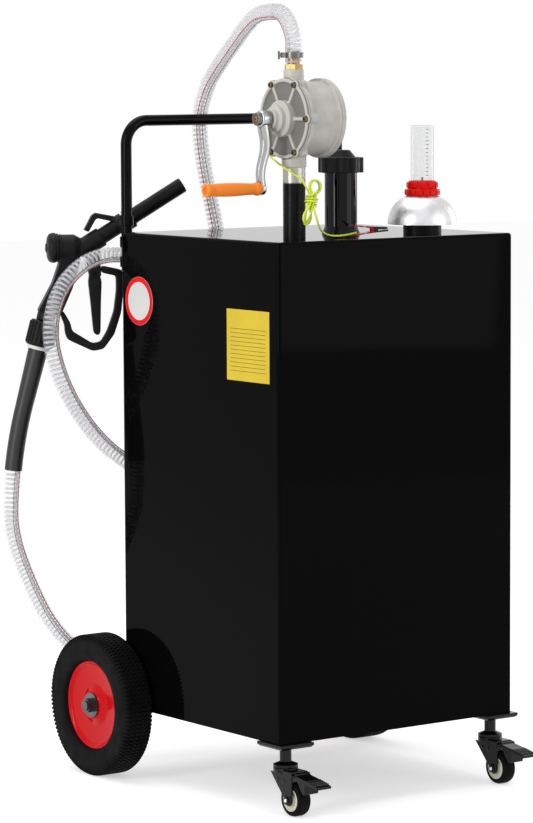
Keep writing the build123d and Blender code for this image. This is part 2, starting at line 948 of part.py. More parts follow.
# Front cover: a ribbed disc with a stepped round hub, bored for the shaft
hub_step_x = face_x - hub_step_height
hub_neck_x = hub_step_x - hub_neck_height
gland_x = hub_neck_x - gland_height
with BuildPart() as pump_cover:
    rod(facing_x(face_x, pump_y, pump_z), pump_radius, cover_thickness)
    for index in range(screw_count):
        ear_angle = radians(index * 360 / screw_count)
        ear_y = pump_y + screw_circle_radius * cos(ear_angle)
        ear_z = pump_z + screw_circle_radius * sin(ear_angle)
        rod(facing_x(face_x, ear_y, ear_z), screw_ear_radius, cover_thickness)
    tube(
        facing_x(face_x, pump_y, pump_z),
        pump_radius - cover_rim_width,
        hub_step_radius,
        rib_height,
        Mode.SUBTRACT,
    )
    with Locations(facing_x(face_x, pump_y, pump_z)):
        with PolarLocations((hub_step_radius + pump_radius - cover_rim_width) * half, screw_count):
            Box(
                pump_radius - cover_rim_width - hub_step_radius + overrun,
                rib_width,
                rib_height,
                align=STANDING,
            )
    rod(facing_x(hub_step_x, pump_y, pump_z), hub_step_radius, hub_step_height)
    rod(facing_x(hub_neck_x, pump_y, pump_z), hub_neck_radius, hub_neck_height)
    rod(facing_x(gland_x, pump_y, pump_z), gland_radius, gland_height)
    rod(
        facing_x(gland_x - overrun, pump_y, pump_z),
        shaft_radius + running_gap,
        drum_start - gland_x + 2 * overrun,
        Mode.SUBTRACT,
    )
keep(pump_cover, "pump_cover")

with BuildPart() as pump_back_plate:
    rod(facing_x(drum_end, pump_y, pump_z), pump_radius, back_plate_thickness)
    rod(facing_x(drum_end, pump_y, pump_z), shaft_radius + running_gap, shaft_seat, Mode.SUBTRACT)
keep(pump_back_plate, "pump_back_plate")

with BuildPart() as pump_screws:
    for index in range(screw_count):
        ear_angle = radians(index * 360 / screw_count)
        ear_y = pump_y + screw_circle_radius * cos(ear_angle)
        ear_z = pump_z + screw_circle_radius * sin(ear_angle)
        rod(facing_x(face_x - screw_head_height, ear_y, ear_z), screw_head_radius, screw_head_height)
        back_y = pump_y + (screw_circle_radius - screw_head_radius) * cos(ear_angle)
        back_z = pump_z + (screw_circle_radius - screw_head_radius) * sin(ear_angle)
        rod(facing_x(back_x, back_y, back_z), screw_head_radius, screw_head_height * half)
keep(pump_screws, "pump_screws")

# Rotor with its sliding vanes and the shaft, which turn with the crank
rotor_start = drum_start + end_float
rotor_length = drum_end - drum_start - 2 * end_float
shaft_start = gland_x - crank_eye_gap - crank_thickness - crank_nut_length
with BuildPart() as pump_rotor:
    rod(facing_x(rotor_start, pump_y, pump_z), rotor_radius, rotor_length)
    with Locations(facing_x(rotor_start, pump_y, pump_z)):
        with PolarLocations(rotor_radius - vane_depth * half + overrun * half, vane_count):
            Box(
                vane_depth + overrun,
                vane_thickness + 2 * running_gap,
                rotor_length,
                align=STANDING,
                mode=Mode.SUBTRACT,
            )
    rod(
        facing_x(shaft_start, pump_y, pump_z),
        shaft_radius,
        drum_end + shaft_seat - end_float - shaft_start,
    )
keep(pump_rotor, "pump_rotor")

with BuildPart() as pump_vanes:
    with Locations(facing_x(rotor_start, pump_y, pump_z)):
        with PolarLocations(vane_radius - vane_depth * half, vane_count):
            Box(vane_depth, vane_thickness, rotor_length, align=STANDING)
keep(pump_vanes, "pump_vanes")

# Crank: a bowed flat arm, a nut with a round face, a turning grip and its bolt
arm_back = gland_x - crank_eye_gap
arm_x = arm_back - crank_thickness * half
arm_end_x = arm_x - crank_bow
arm_low = pump_z - crank_radius
grip_start = arm_end_x - crank_thickness * half - 2 * seat_gap
with BuildPart() as crank_arm:
    bow_height = crank_radius * half
    front = -crank_thickness * half
    back = crank_thickness * half
    prism(
        facing_y(arm_x, pump_y, pump_z),
        (
            (front, crank_eye_radius),
            (back, crank_eye_radius),
            (back, -crank_radius / 4),
            (back - crank_bow * 3 / 4, -crank_radius * 2 / 3),
            (back - crank_bow, -crank_radius - crank_eye_radius * 3 / 4),
            (front - crank_bow, -crank_radius - crank_eye_radius * 3 / 4),
            (front - crank_bow * 3 / 4, -crank_radius * 2 / 3),
            (front, -crank_radius / 4),
        ),
        crank_width,
    )
    rod(facing_x(arm_x - crank_thickness * half, pump_y, pump_z), crank_eye_radius, crank_thickness)
    rod(
        facing_x(arm_end_x - crank_thickness * half, pump_y, arm_low),
        crank_eye_radius * 3 / 4,
        crank_thickness,
    )
    rod(
        facing_x(shaft_start - crank_bow, pump_y, pump_z),
        shaft_radius + running_gap,
        crank_nut_length + crank_thickness + 2 * crank_bow,
        Mode.SUBTRACT,
    )
    bolt_end = grip_start - grip_length + grip_recess
    rod(facing_x(bolt_end, pump_y, arm_low), grip_bolt_radius, arm_end_x - bolt_end)
    rod(
        facing_x(bolt_end - grip_recess + end_float, pump_y, arm_low),
        grip_bolt_head,
        grip_recess - 2 * end_float,
    )
    rod(
        facing_x(bolt_end - 2 * end_float, pump_y, arm_low),
        grip_bolt_radius,
        2 * end_float,
    )
    rod(facing_x(arm_end_x + crank_thickness * half, pump_y, arm_low), nut_radius, overrun)
keep(crank_arm, "crank_arm")

nut_front = arm_back - crank_thickness - seat_gap * half
with BuildPart() as crank_nut:
    with BuildSketch(facing_x(nut_front - crank_nut_length, pump_y, pump_z)) as nut:
        RegularPolygon(crank_nut_radius + overrun, 6)
        Circle(shaft_radius + running_gap, mode=Mode.SUBTRACT)
    extrude(nut.sketch, amount=crank_nut_length)
    rod(
        facing_x(nut_front - crank_nut_length - crank_disc_thickness, pump_y, pump_z),
        crank_disc_radius,
        crank_disc_thickness,
    )
    fillet(crank_nut.faces().sort_by(Axis.X)[0].edges(), crank_disc_thickness / 3)
keep(crank_nut, "crank_nut")

grip_plane = Plane(origin=(grip_start, pump_y, arm_low), x_dir=(-1, 0, 0), z_dir=(0, 1, 0))
with BuildPart() as crank_grip:
    turned(
        grip_plane,
        (
            (0, grip_bolt_radius + running_gap),
            (0, grip_radius - overrun),
            (overrun, grip_radius),
            (grip_length / 12, grip_radius),
            (grip_length / 6, grip_waist_radius),
            (grip_length * 2 / 3, grip_radius),
            (grip_length - 2 * overrun, grip_radius),
            (grip_length, grip_radius - 2 * overrun),
            (grip_length, grip_bolt_head + overrun),
            (grip_length - grip_recess, grip_bolt_head + overrun),
            (grip_length - grip_recess, grip_bolt_radius + running_gap),
        ),
    )
keep(crank_grip, "crank_grip")


# Outlet: a brass hose barb in the pump's neck
neck_top = pump_z + neck_rise
with BuildPart() as outlet_fitting:
    rod(level(pump_x, pump_y, neck_top - neck_radius), port_radius - running_gap, neck_radius)
    with BuildSketch(level(pump_x, pump_y, neck_top)) as hexagon:
        RegularPolygon(hex_width * half, 6, major_radius=False)
    extrude(hexagon.sketch, amount=hex_height)
    barb_start = neck_top + hex_height
    rod(level(pump_x, pump_y, barb_start), barb_radius - barb_ridge, barb_length)
    ridge_length = barb_length / barb_ridges
    for index in range(barb_ridges):
        with Locations(level(pump_x, pump_y, barb_start + index * ridge_length)):
            Cone(barb_radius, barb_radius - barb_ridge, ridge_length, align=STANDING)
    rod(
        level(pump_x, pump_y, neck_top - neck_radius - overrun),
        barb_bore,
        neck_radius + hex_height + barb_length + 2 * overrun,
        Mode.SUBTRACT,
    )
keep(outlet_fitting, "outlet_fitting")

# Start of the hose: pushed over the barb, clamped, and bent over towards the rear
cuff_start = barb_start + seat_gap
cuff_straight = barb_start + barb_length + seat_gap
lean = radians(cuff_bend_angle)
bearing = radians(cuff_bearing)
cuff_run = cuff_bend_radius * (1 - cos(lean))
cuff_climb = cuff_bend_radius * sin(lean)
cuff_end = Vector(
    pump_x + cuff_run * cos(bearing),
    pump_y + cuff_run * sin(bearing),
    cuff_straight + cuff_climb,
)
cuff_direction = Vector(sin(lean) * cos(bearing), sin(lean) * sin(bearing), cos(lean))
cuff_corner = cuff_straight + cuff_bend_radius * tan(lean * half)
with BuildPart() as hose_cuff:
    with BuildLine():
        start = Line((pump_x, pump_y, cuff_start), (pump_x, pump_y, cuff_straight))
        TangentArc(start @ 1, cuff_end, tangent=start % 1)
    with BuildSketch(level(pump_x, pump_y, cuff_start)):
        Circle(hose_radius)
        Circle(hose_radius - hose_wall, mode=Mode.SUBTRACT)
    sweep()
keep(hose_cuff, "hose_cuff")

with BuildPart() as hose_clamp:
    clamp_z = barb_start + clamp_rise
    clamp_outer = hose_radius + seat_gap + clamp_thickness
    tube(level(pump_x, pump_y, clamp_z), clamp_outer, hose_radius + seat_gap, clamp_width)
    lug_plane = level(pump_x - clamp_outer - clamp_lug * half + clamp_thickness, pump_y, clamp_z + clamp_width * half)
    slab(lug_plane, clamp_lug, clamp_lug * half, clamp_width)
    screw_start = pump_x - clamp_outer - clamp_lug + clamp_thickness
    rod(
        Plane(origin=(screw_start, pump_y, clamp_z + clamp_width * half), x_dir=(0, 1, 0), z_dir=(-1, 0, 0)),
        clamp_screw_radius,
        clamp_lug * half,
    )
    slab(
        level(screw_start - clamp_lug * half, pump_y, clamp_z + clamp_width * half),
        clamp_thickness,
        clamp_width * half,
        clamp_wing_span,
    )
keep(hose_clamp, "hose_clamp")

# Filler: a tube with a flared foot, and a cap with lugs and a conical knob
with BuildPart() as filler_tube:
    filler_top = filler_height - filler_neck_height
    turned(
        upright(filler_x, filler_y, tank_height),
        (
            (0, filler_radius - filler_wall),
            (0, filler_foot_radius),
            (filler_wall, filler_foot_radius),
            (filler_foot_height, filler_radius),
            (filler_top, filler_radius),
            (filler_top, filler_neck_radius),
            (filler_height, filler_neck_radius),
            (filler_height, filler_neck_radius - filler_wall),
            (filler_top - filler_neck_height, filler_neck_radius - filler_wall),
            (filler_top - 2 * filler_neck_height, filler_radius - filler_wall),
        ),
    )
keep(filler_tube, "filler_tube")

cap_base = tank_height + filler_height - filler_neck_height + seat_gap + fit_gap
skirt_top = tank_height + filler_height + 2 * seat_gap
with BuildPart() as filler_cap:
    rod(level(filler_x, filler_y, cap_base), cap_radius - cap_lug_radius * half, cap_height)
    with Locations(level(filler_x, filler_y, cap_base)):
        with PolarLocations(cap_radius - cap_lug_radius, cap_lug_count):
            Cylinder(cap_lug_radius, cap_height, align=STANDING)
    with Locations(level(filler_x, filler_y, cap_base + cap_height)):
        Cone(cap_knob_radius, cap_knob_top_radius, cap_knob_height, align=STANDING)
    rod(
        level(filler_x, filler_y, cap_base - overrun),
        filler_neck_radius + fit_gap,
        skirt_top - cap_base + overrun,
        Mode.SUBTRACT,
    )
keep(filler_cap, "filler_cap")

# Level gauge: a threaded collar, a spun dome, a locking ring, a clear tube, and a float on a rod
with BuildPart() as gauge_collar:
    tube(
        level(gauge_x, gauge_y, tank_height),
        gauge_collar_radius,
        gauge_tube_radius + fit_gap,
        gauge_collar_height,
    )
keep(gauge_collar, "gauge_collar")

with BuildPart() as gauge_dome:
    dome_z = tank_height + gauge_collar_height + seat_gap
    rim = gauge_dome_radius
    top = gauge_dome_height
    wall = gauge_dome_wall
    bulge_height = top * gauge_dome_bulge_share
    bulge_radius = rim * gauge_dome_side_share
    with BuildSketch(upright(gauge_x, gauge_y, dome_z)) as dome_profile:
        with BuildLine():
            ThreePointArc((0, rim), (bulge_height, bulge_radius), (top, gauge_dome_top_radius))
            Line((top, gauge_dome_top_radius), (top, gauge_tube_radius + fit_gap))
            Line((top, gauge_tube_radius + fit_gap), (top - wall, gauge_tube_radius + fit_gap))
            Line((top - wall, gauge_tube_radius + fit_gap), (top - wall, gauge_dome_top_radius - wall))
            ThreePointArc(
                (top - wall, gauge_dome_top_radius - wall),
                (bulge_height - wall * diagonal_share, bulge_radius - wall * diagonal_share),
                (0, rim - wall),
            )
            Line((0, rim - wall), (0, rim))
        make_face()
    revolve(dome_profile.sketch, axis=Axis((gauge_x, gauge_y, dome_z), (0, 0, 1)))
    tube(level(gauge_x, gauge_y, dome_z), gauge_collar_radius, gauge_tube_radius + fit_gap, wall)
    spoke_start = gauge_collar_radius - wall
    spoke_end = rim - wall * half
    with Locations(level(gauge_x, gauge_y, dome_z)):
        with PolarLocations((spoke_start + spoke_end) * half, 3):
            Box(spoke_end - spoke_start, 4 * wall, wall, align=STANDING)
keep(gauge_dome, "gauge_dome")

with BuildPart() as gauge_ring:
    ring_z = dome_z + top + seat_gap
    tube(
        level(gauge_x, gauge_y, ring_z),
        gauge_ring_flange_radius,
        gauge_tube_radius + fit_gap,
        tank_height + gauge_ring_rise + gauge_ring_flange_height - ring_z,
    )
    tube(
        level(gauge_x, gauge_y, tank_height + gauge_ring_rise + gauge_ring_flange_height),
        gauge_ring_radius,
        gauge_tube_radius + fit_gap,
        gauge_ring_height,
    )
keep(gauge_ring, "gauge_ring")

with BuildPart() as gauge_tube:
    tube_base = tank_height
    turned(
        upright(gauge_x, gauge_y, tube_base),
        (
            (0, float_rod_radius + fit_gap),
            (0, gauge_tube_radius),
            (gauge_tube_top - gauge_tube_cap, gauge_tube_radius),
            (gauge_tube_top - gauge_tube_cap, gauge_tube_radius + gauge_tube_wall * half),
            (gauge_tube_top, gauge_tube_radius + gauge_tube_wall * half),
            (gauge_tube_top, 0),
            (gauge_tube_top - gauge_tube_cap, 0),
            (gauge_tube_top - gauge_tube_cap, gauge_tube_radius - gauge_tube_wall),
            (float_guide, gauge_tube_radius - gauge_tube_wall),
            (float_guide, float_rod_radius + fit_gap),
        ),
    )
keep(gauge_tube, "gauge_tube")

with BuildPart() as gauge_float:
    float_top = tank_height - float_depth
    rod(level(gauge_x, gauge_y, float_top), float_rod_radius, float_depth + float_rod_top)
    rod(level(gauge_x, gauge_y, float_top - float_height), float_radius, float_height)
    fillet(gauge_float.faces().sort_by(Axis.Z)[0].edges(), float_radius / 4)
keep(gauge_float, "gauge_float")

# Stickers: plain panels on the side that the crank faces
square_sticker_y = front_y + square_sticker_setback
square_sticker_z = tank_height - square_sticker_drop
round_sticker_y = rear_y - round_sticker_inset
round_sticker_z = tank_height - round_sticker_drop
with BuildPart() as square_sticker:
    slab(
        level(-side_x - sticker_thickness * half, square_sticker_y, square_sticker_z),
        sticker_thickness,
        square_sticker_width,
        square_sticker_height,
    )
keep(square_sticker, "square_sticker")

with BuildPart() as round_sticker:
    rod(
        facing_x(-side_x - sticker_thickness, round_sticker_y, round_sticker_z),
        round_sticker_radius,
        sticker_thickness,
    )
keep(round_sticker, "round_sticker")

# Nozzle. Its plane holds places along a level line, s, and heights. The line runs towards the spout.
nozzle_x = nozzle_inset - handle_x
nozzle_y = rear_y + nozzle_setback
nozzle_axis_height = tank_height + nozzle_axis_rise
body_height = nozzle_axis_height - body_drop
trigger_pivot_z = body_height - trigger_pivot_drop
swivel_z = body_height - swivel_drop
turn_angle = radians(nozzle_turn)
nozzle_dir = Vector(cos(turn_angle), -sin(turn_angle), 0)
nozzle_side = Vector(-sin(turn_angle), -cos(turn_angle), 0)
nozzle_plane = Plane(origin=(nozzle_x, nozzle_y, 0), x_dir=nozzle_dir, z_dir=nozzle_side)


def nozzle_point(s, z):
    """A point of the nozzle's plane in the part's frame."""
    return Vector(nozzle_x, nozzle_y, 0) + nozzle_dir * s + Vector(0, 0, z)


def nozzle_line(s, z, angle):
    """A plane in which pieces are turned about a line of the nozzle's plane."""
    direction = nozzle_dir * cos(radians(angle)) + Vector(0, 0, sin(radians(angle)))
    return Plane(origin=nozzle_point(s, z), x_dir=direction, z_dir=nozzle_side)


slope = radians(nozzle_slope)


def spout_height(s):
    """The height of the spout's axis at a place along the nozzle's plane."""
    return nozzle_axis_height + s * tan(slope)


def spout_line(s):
    """A plane in which pieces are turned about the spout's axis, from a place on it."""
    return nozzle_line(s, spout_height(s), nozzle_slope)


snout_length = (snout_end - snout_start) / cos(slope)
spout_start = snout_length - spout_seat
spout_length = (spout_tip - snout_start) / cos(slope)
outlet_end_start = (outlet_end_place - snout_start) / cos(slope)
with BuildPart() as nozzle_body:
    turned(
        nozzle_line(body_start, body_height, 0),
        (
            (0, 0),
            (0, body_radius),
            (body_end - body_start - snout_radius, body_radius),
            (body_end - body_start, snout_radius * 3 / 4),
            (body_end - body_start + snout_radius * half, 0),
        ),
    )
    turned(
        spout_line(snout_start),
        ((-snout_radius, 0), (-snout_radius * half, snout_radius), (snout_length, snout_radius), (snout_length, 0)),
    )
    prism(
        nozzle_plane,
        shaped(
                nozzle_grip_shares,
                body_start - nozzle_grip_back,
                body_height - nozzle_grip_height,
                nozzle_grip_reach,
                nozzle_grip_height,
            ),
        grip_thickness,
    )
    turned(
        nozzle_line(swivel_s, swivel_z, 90 - swivel_lean),
        (
            (-swivel_length * half, 0),
            (-swivel_length * half, swivel_neck_radius - running_gap),
            (seat_gap, swivel_neck_radius - running_gap),
            (seat_gap, snout_radius - overrun),
            (swivel_length * half, snout_radius - overrun),
            (swivel_length * half, 0),
        ),
    )
    for flank in (-1, 1):
        lug_offset = trigger_width * half + seat_gap + cheek_plate * half
        lug_plane = Plane(
            origin=Vector(nozzle_x, nozzle_y, 0) + nozzle_side * flank * lug_offset,
            x_dir=nozzle_dir,
            z_dir=nozzle_side,
        )
        prism(
            lug_plane,
            shaped(
                    trigger_lug_shares,
                    trigger_pivot_s - trigger_lug_back,
                    trigger_pivot_z - trigger_lug_drop,
                    trigger_lug_reach,
                    trigger_lug_height,
                ),
            cheek_plate,
        )
    turned(
        spout_line(snout_start),
        (
            (spout_start, 0),
            (spout_start, spout_radius + running_gap),
            (snout_length + overrun, spout_radius + running_gap),
            (snout_length + overrun, 0),
        ),
        Mode.SUBTRACT,
    )
    valve_bore = valve_radius + running_gap
    turned(
        nozzle_line(body_start, body_height, 0),
        (
            (-overrun, 0),
            (-overrun, valve_bore),
            (body_end - body_start - valve_travel, valve_bore),
            (body_end - body_start - valve_travel, 0),
        ),
        Mode.SUBTRACT,
    )
    with Locations(nozzle_plane):
        with Locations((trigger_pivot_s, trigger_pivot_z)):
            Cylinder(trigger_pin_radius + running_gap, grip_thickness, align=CENTRED, mode=Mode.SUBTRACT)
keep(nozzle_body, "nozzle_body")

with BuildPart() as nozzle_end_cap:
    cap_length = body_start - end_cap_start
    turned(
        nozzle_line(end_cap_start, body_height, 0),
        (
            (-end_cap_bolt_height, 0),
            (-end_cap_bolt_height, end_cap_bolt_radius),
            (0, end_cap_bolt_radius),
            (0, end_cap_radius - 2 * cheek_plate),
            (2 * cheek_plate, end_cap_radius),
            (cap_length, end_cap_radius),
            (cap_length, 0),
        ),
    )
keep(nozzle_end_cap, "nozzle_end_cap")

with BuildPart() as nozzle_spout:
    turned(
        spout_line(snout_start),
        (
            (spout_start + running_gap, spout_radius - spout_wall),
            (spout_start + running_gap, spout_radius),
            (outlet_end_start, spout_radius),
            (outlet_end_start, outlet_end_radius),
            (spout_length - overrun, outlet_end_radius),
            (spout_length, outlet_end_radius - overrun),
            (spout_length, spout_radius - spout_wall),
        ),
    )
keep(nozzle_spout, "nozzle_spout")

hook_start = (hook_place - snout_start) / cos(slope)
with BuildPart() as spout_hook:
    prism(
        nozzle_plane,
        shaped(
            hook_shares,
            hook_place - hook_back,
            spout_height(hook_place) + hook_rise,
            hook_reach,
            hook_height,
        ),
        hook_width,
    )
    turned(
        spout_line(snout_start),
        (
            (hook_start, 0),
            (hook_start, hook_collar_radius),
            (hook_start + hook_collar_length, hook_collar_radius),
            (hook_start + hook_collar_length, 0),
        ),
    )
    turned(
        spout_line(snout_start),
        (
            (hook_start - hook_bar, 0),
            (hook_start - hook_bar, spout_radius + seat_gap),
            (hook_start + 3 * hook_collar_length, spout_radius + seat_gap),
            (hook_start + 3 * hook_collar_length, 0),
        ),
        Mode.SUBTRACT,
    )
keep(spout_hook, "spout_hook")

with BuildPart() as trigger_guard:
    prism(
        nozzle_plane,
        shaped(
            guard_shares,
            trigger_pivot_s - guard_back,
            trigger_pivot_z - guard_drop,
            guard_reach,
            guard_height,
        ),
        guard_width,
    )
keep(trigger_guard, "trigger_guard")

with BuildPart() as nozzle_trigger:
    prism(
        nozzle_plane,
        shaped(
            trigger_shares,
            trigger_pivot_s - trigger_back,
            trigger_pivot_z - trigger_drop,
            trigger_reach,
            trigger_height,
        ),
        trigger_width,
    )
    with Locations(nozzle_plane):
        with Locations((trigger_pivot_s, trigger_pivot_z)):
            Cylinder(
                trigger_pin_radius,
                trigger_width + 2 * (seat_gap + cheek_plate),
                align=CENTRED,
            )
keep(nozzle_trigger, "nozzle_trigger")

with BuildPart() as valve_stem:
    turned(
        nozzle_line(body_start, body_height, 0),
        (
            (valve_travel + seat_gap, 0),
            (valve_travel + seat_gap, valve_stem_radius),
            (2 * valve_travel, valve_stem_radius),
            (2 * valve_travel, valve_radius),
            (3 * valve_travel, valve_radius),
            (3 * valve_travel, 0),
        ),
    )
keep(valve_stem, "valve_stem")

# Swivel between the nozzle and the hose: a ribbed collar, a pale ring and the bend sleeve
swivel_plane = nozzle_line(swivel_s, swivel_z, -90 - swivel_lean)
swivel_axis = swivel_plane.x_dir
with BuildPart() as nozzle_swivel:
    turned(
        swivel_plane,
        (
            (0, swivel_neck_radius),
            (0, swivel_radius - 2 * cheek_plate),
            (cheek_plate, swivel_radius),
            (swivel_length - cheek_plate, swivel_radius),
            (swivel_length, swivel_radius - cheek_plate),
            (swivel_length, swivel_neck_radius),
        ),
    )
    rib_plane = Plane(origin=swivel_plane.origin + swivel_axis * cheek_plate, z_dir=swivel_axis)
    with Locations(rib_plane):
        with PolarLocations(swivel_radius, swivel_ribs):
            Cylinder(swivel_rib_radius, swivel_length - 2 * cheek_plate, align=STANDING)
keep(nozzle_swivel, "nozzle_swivel")

ring_start = swivel_length + seat_gap
with BuildPart() as swivel_ring:
    turned(
        swivel_plane,
        (
            (swivel_length * half + seat_gap, 0),
            (swivel_length * half + seat_gap, swivel_neck_radius - running_gap),
            (ring_start, swivel_neck_radius - running_gap),
            (ring_start, swivel_ring_radius),
            (ring_start + swivel_ring_length, swivel_ring_radius),
            (ring_start + swivel_ring_length, 0),
        ),
    )
keep(swivel_ring, "swivel_ring")

sleeve_start = ring_start + swivel_ring_length
sleeve_turn = swivel_plane.origin + swivel_axis * (sleeve_start + sleeve_straight)
end_lean = swivel_lean - sleeve_bend
sleeve_direction = nozzle_line(swivel_s, swivel_z, -90 - end_lean).x_dir
bend_chord = 2 * sleeve_arc_radius * sin(radians(sleeve_bend * half))
chord_direction = nozzle_line(swivel_s, swivel_z, -90 - (swivel_lean + end_lean) * half).x_dir
sleeve_end = sleeve_turn + chord_direction * bend_chord
with BuildPart() as hose_sleeve:
    turned(
        swivel_plane,
        (
            (sleeve_start, 0),
            (sleeve_start, sleeve_top_radius),
            (sleeve_start + sleeve_straight, sleeve_end_radius),
            (sleeve_start + sleeve_straight, 0),
        ),
    )
    with BuildLine():
        TangentArc(sleeve_turn, sleeve_end, tangent=swivel_axis)
    with BuildSketch(Plane(origin=sleeve_turn, z_dir=swivel_axis)):
        Circle(sleeve_end_radius)
    sweep()
keep(hose_sleeve, "hose_sleeve")

# Holder: a clamp round the handle's leg that carries a ring for the spout
holder_start = (holder_place - snout_start) / cos(slope)
holder_bore = spout_radius + holder_gap
holder_middle = holder_place + holder_length * half * cos(slope)
holder_centre = nozzle_point(holder_middle, spout_height(holder_middle))
with BuildPart() as nozzle_holder:
    clamp_radius = handle_tube_radius + strap_thickness + seat_gap
    rod(level(-handle_x, handle_y, holder_centre.Z - strap_width * half), clamp_radius, strap_width)
    with BuildSketch(level(0, 0, holder_centre.Z)) as arm:
        with BuildLine():
            Polyline(
                (-handle_x - clamp_radius * half, handle_y),
                (-handle_x + clamp_radius * half, handle_y),
                (holder_centre.X + holder_radius * half, holder_centre.Y),
                (holder_centre.X - holder_radius * half, holder_centre.Y),
                close=True,
            )
        make_face()
    extrude(arm.sketch, amount=strap_thickness, both=True)
    turned(
        spout_line(snout_start),
        (
            (holder_start, 0),
            (holder_start, holder_radius),
            (holder_start + holder_length, holder_radius),
            (holder_start + holder_length, 0),
        ),
    )
    turned(
        spout_line(snout_start),
        (
            (holder_start - holder_length, 0),
            (holder_start - holder_length, holder_bore),
            (holder_start + 2 * holder_length, holder_bore),
            (holder_start + 2 * holder_length, 0),
        ),
        Mode.SUBTRACT,
    )
    rod(
        level(-handle_x, handle_y, holder_centre.Z - strap_width),
        handle_tube_radius + seat_gap,
        2 * strap_width,
        Mode.SUBTRACT,
    )
keep(nozzle_holder, "nozzle_holder")


# Cords: straight runs joined by arcs as large as the runs allow
def bend_radii(points):
    """The radius of each corner: a share of the shorter run, over the tangent of half the turn."""
    radii = []
    for before, here, after in zip(points, points[1:], points[2:]):
        arriving = Vector(here) - Vector(before)
        leaving = Vector(after) - Vector(here)
        half_turn = radians(arriving.get_angle(leaving)) * half
        shorter = min(arriving.length, leaving.length)
        radii.append(RADIUS_SHARE * shorter / tan(half_turn))
    return radii


def cord(points, radius, name):
    """A cord's tube along its route, with its radii, length and volume printed."""
    radii = bend_radii(points)
    with BuildPart() as piece:
        with BuildLine() as route:
            FilletPolyline(*points, radius=radii)
        path = route.wire()
        with BuildSketch(Plane(origin=path @ 0, z_dir=path % 0)):
            Circle(radius)
        sweep()
    share = piece.part.volume / (path.length * pi * radius**2)
    print(name, "length", round(path.length), "volume share", round(share, 4))
    print(name, "radii", [round(value, 1) for value in radii])
    keep(piece, name)
    return path


# Hose: over the handle, down behind the tank, one hanging turn, and up from below to the nozzle
sleeve_lead = 50.0
cuff_lead = 60.0
hose_points = [
    tuple(cuff_end),
    tuple(cuff_end + cuff_direction * cuff_lead),
    (-84.0, 60.0, 1050.0),
    (-72.5, 113.0, 1019.5),
    (-62.8, 161.0, 991.5),
    (-52.0, 210.0, 960.0),
    (-44.6, 245.6, 906.0),
    (-35.0, 247.0, 835.0),
    (-22.0, 240.5, 765.0),
    (-8.5, 238.4, 698.0),
    (4.8, 237.0, 629.6),
    (17.0, 237.0, 546.1),
    (20.0, 238.0, 474.8),
    (-1.0, 239.0, 402.0),
    (-58.0, 241.5, 354.0),
    (-131.0, 245.5, 346.0),
    (-205.0, 251.0, 386.0),
    (-257.3, 256.2, 439.3),
    (-299.0, 259.0, 508.9),
    (-315.5, 258.7, 580.0),
    (-289.9, 254.0, 648.4),
    (-230.9, 247.0, 691.3),
    (-157.0, 245.0, 694.4),
    (-80.0, 256.0, 679.0),
    (-12.0, 269.5, 638.0),
    (40.8, 274.1, 577.5),
    (71.8, 269.8, 509.4),
    (86.0, 264.3, 436.6),
    (88.4, 259.7, 359.0),
    (81.9, 256.5, 280.8),
    (65.6, 256.4, 208.1),
    (35.1, 261.4, 140.0),
    (-11.4, 274.4, 80.1),
    (-70.9, 298.2, 39.8),
    (-138.3, 326.7, 32.0),
    (-209.0, 348.0, 61.0),
    (-259.0, 357.0, 113.0),
    (-298.0, 356.5, 186.0),
    (-331.0, 349.0, 258.0),
    tuple(sleeve_end + sleeve_direction * sleeve_lead),
    tuple(sleeve_end),
]
cord(hose_points, hose_radius, "hose")

# Ground wire: from a pump screw to a tied hank, then across the tank's top to the clip
tilt = radians(hank_tilt)
hank_z = tank_height + hank_rise
hank_up = Vector(sin(tilt), 0, cos(tilt))
hank_across = Vector(cos(tilt), 0, -sin(tilt))
wire_pitch = 2 * wire_radius + wire_gap
waist = wire_radius + wire_gap * half
waist_half_height = 9 * wire_pitch / 4


def hank_point(across, up, out):
    """A point of the hank, from its place across, up and out towards the front."""
    spot = Vector(hank_x, hank_y, hank_z) + hank_across * across + hank_up * up - Vector(0, out, 0)
    return tuple(spot)


def hank_loops_route():
    """The hank's loops, one behind the next, drawn in at the waist and fanned out below."""
    step = wire_pitch / 8
    places = [(-hank_entry_across, hank_entry_up, -wire_radius), (-waist, waist_half_height + wire_radius, 0)]
    for index in range(hank_loops):
        out = index * wire_pitch
        middle = (1 - index) * hank_fan
        low = abs(middle) / 2 - hank_bottom_height
        places += [
            (-waist, -waist_half_height, out),
            (middle - hank_bottom_half_width, low * 2 / 3, out + step),
            (middle - hank_bottom_half_width * half, low, out + 2 * step),
            (middle + hank_bottom_half_width * half, low, out + 3 * step),
            (middle + hank_bottom_half_width, low * 2 / 3, out + 4 * step),
            (waist, -waist_half_height, out + 4 * step),
        ]
        if index < hank_loops - 1:
            places += [
                (waist, waist_half_height, out + 4 * step),
                (hank_top_half_width, hank_top_height * 2 / 3, out + 5 * step),
                (hank_top_half_width * half, hank_top_height, out + 6 * step),
                (-hank_top_half_width * half, hank_top_height, out + 7 * step),
                (-hank_top_half_width, hank_top_height * 2 / 3, out + 8 * step),
                (-waist, waist_half_height, out + 8 * step),
            ]
    return places, out + 4 * step


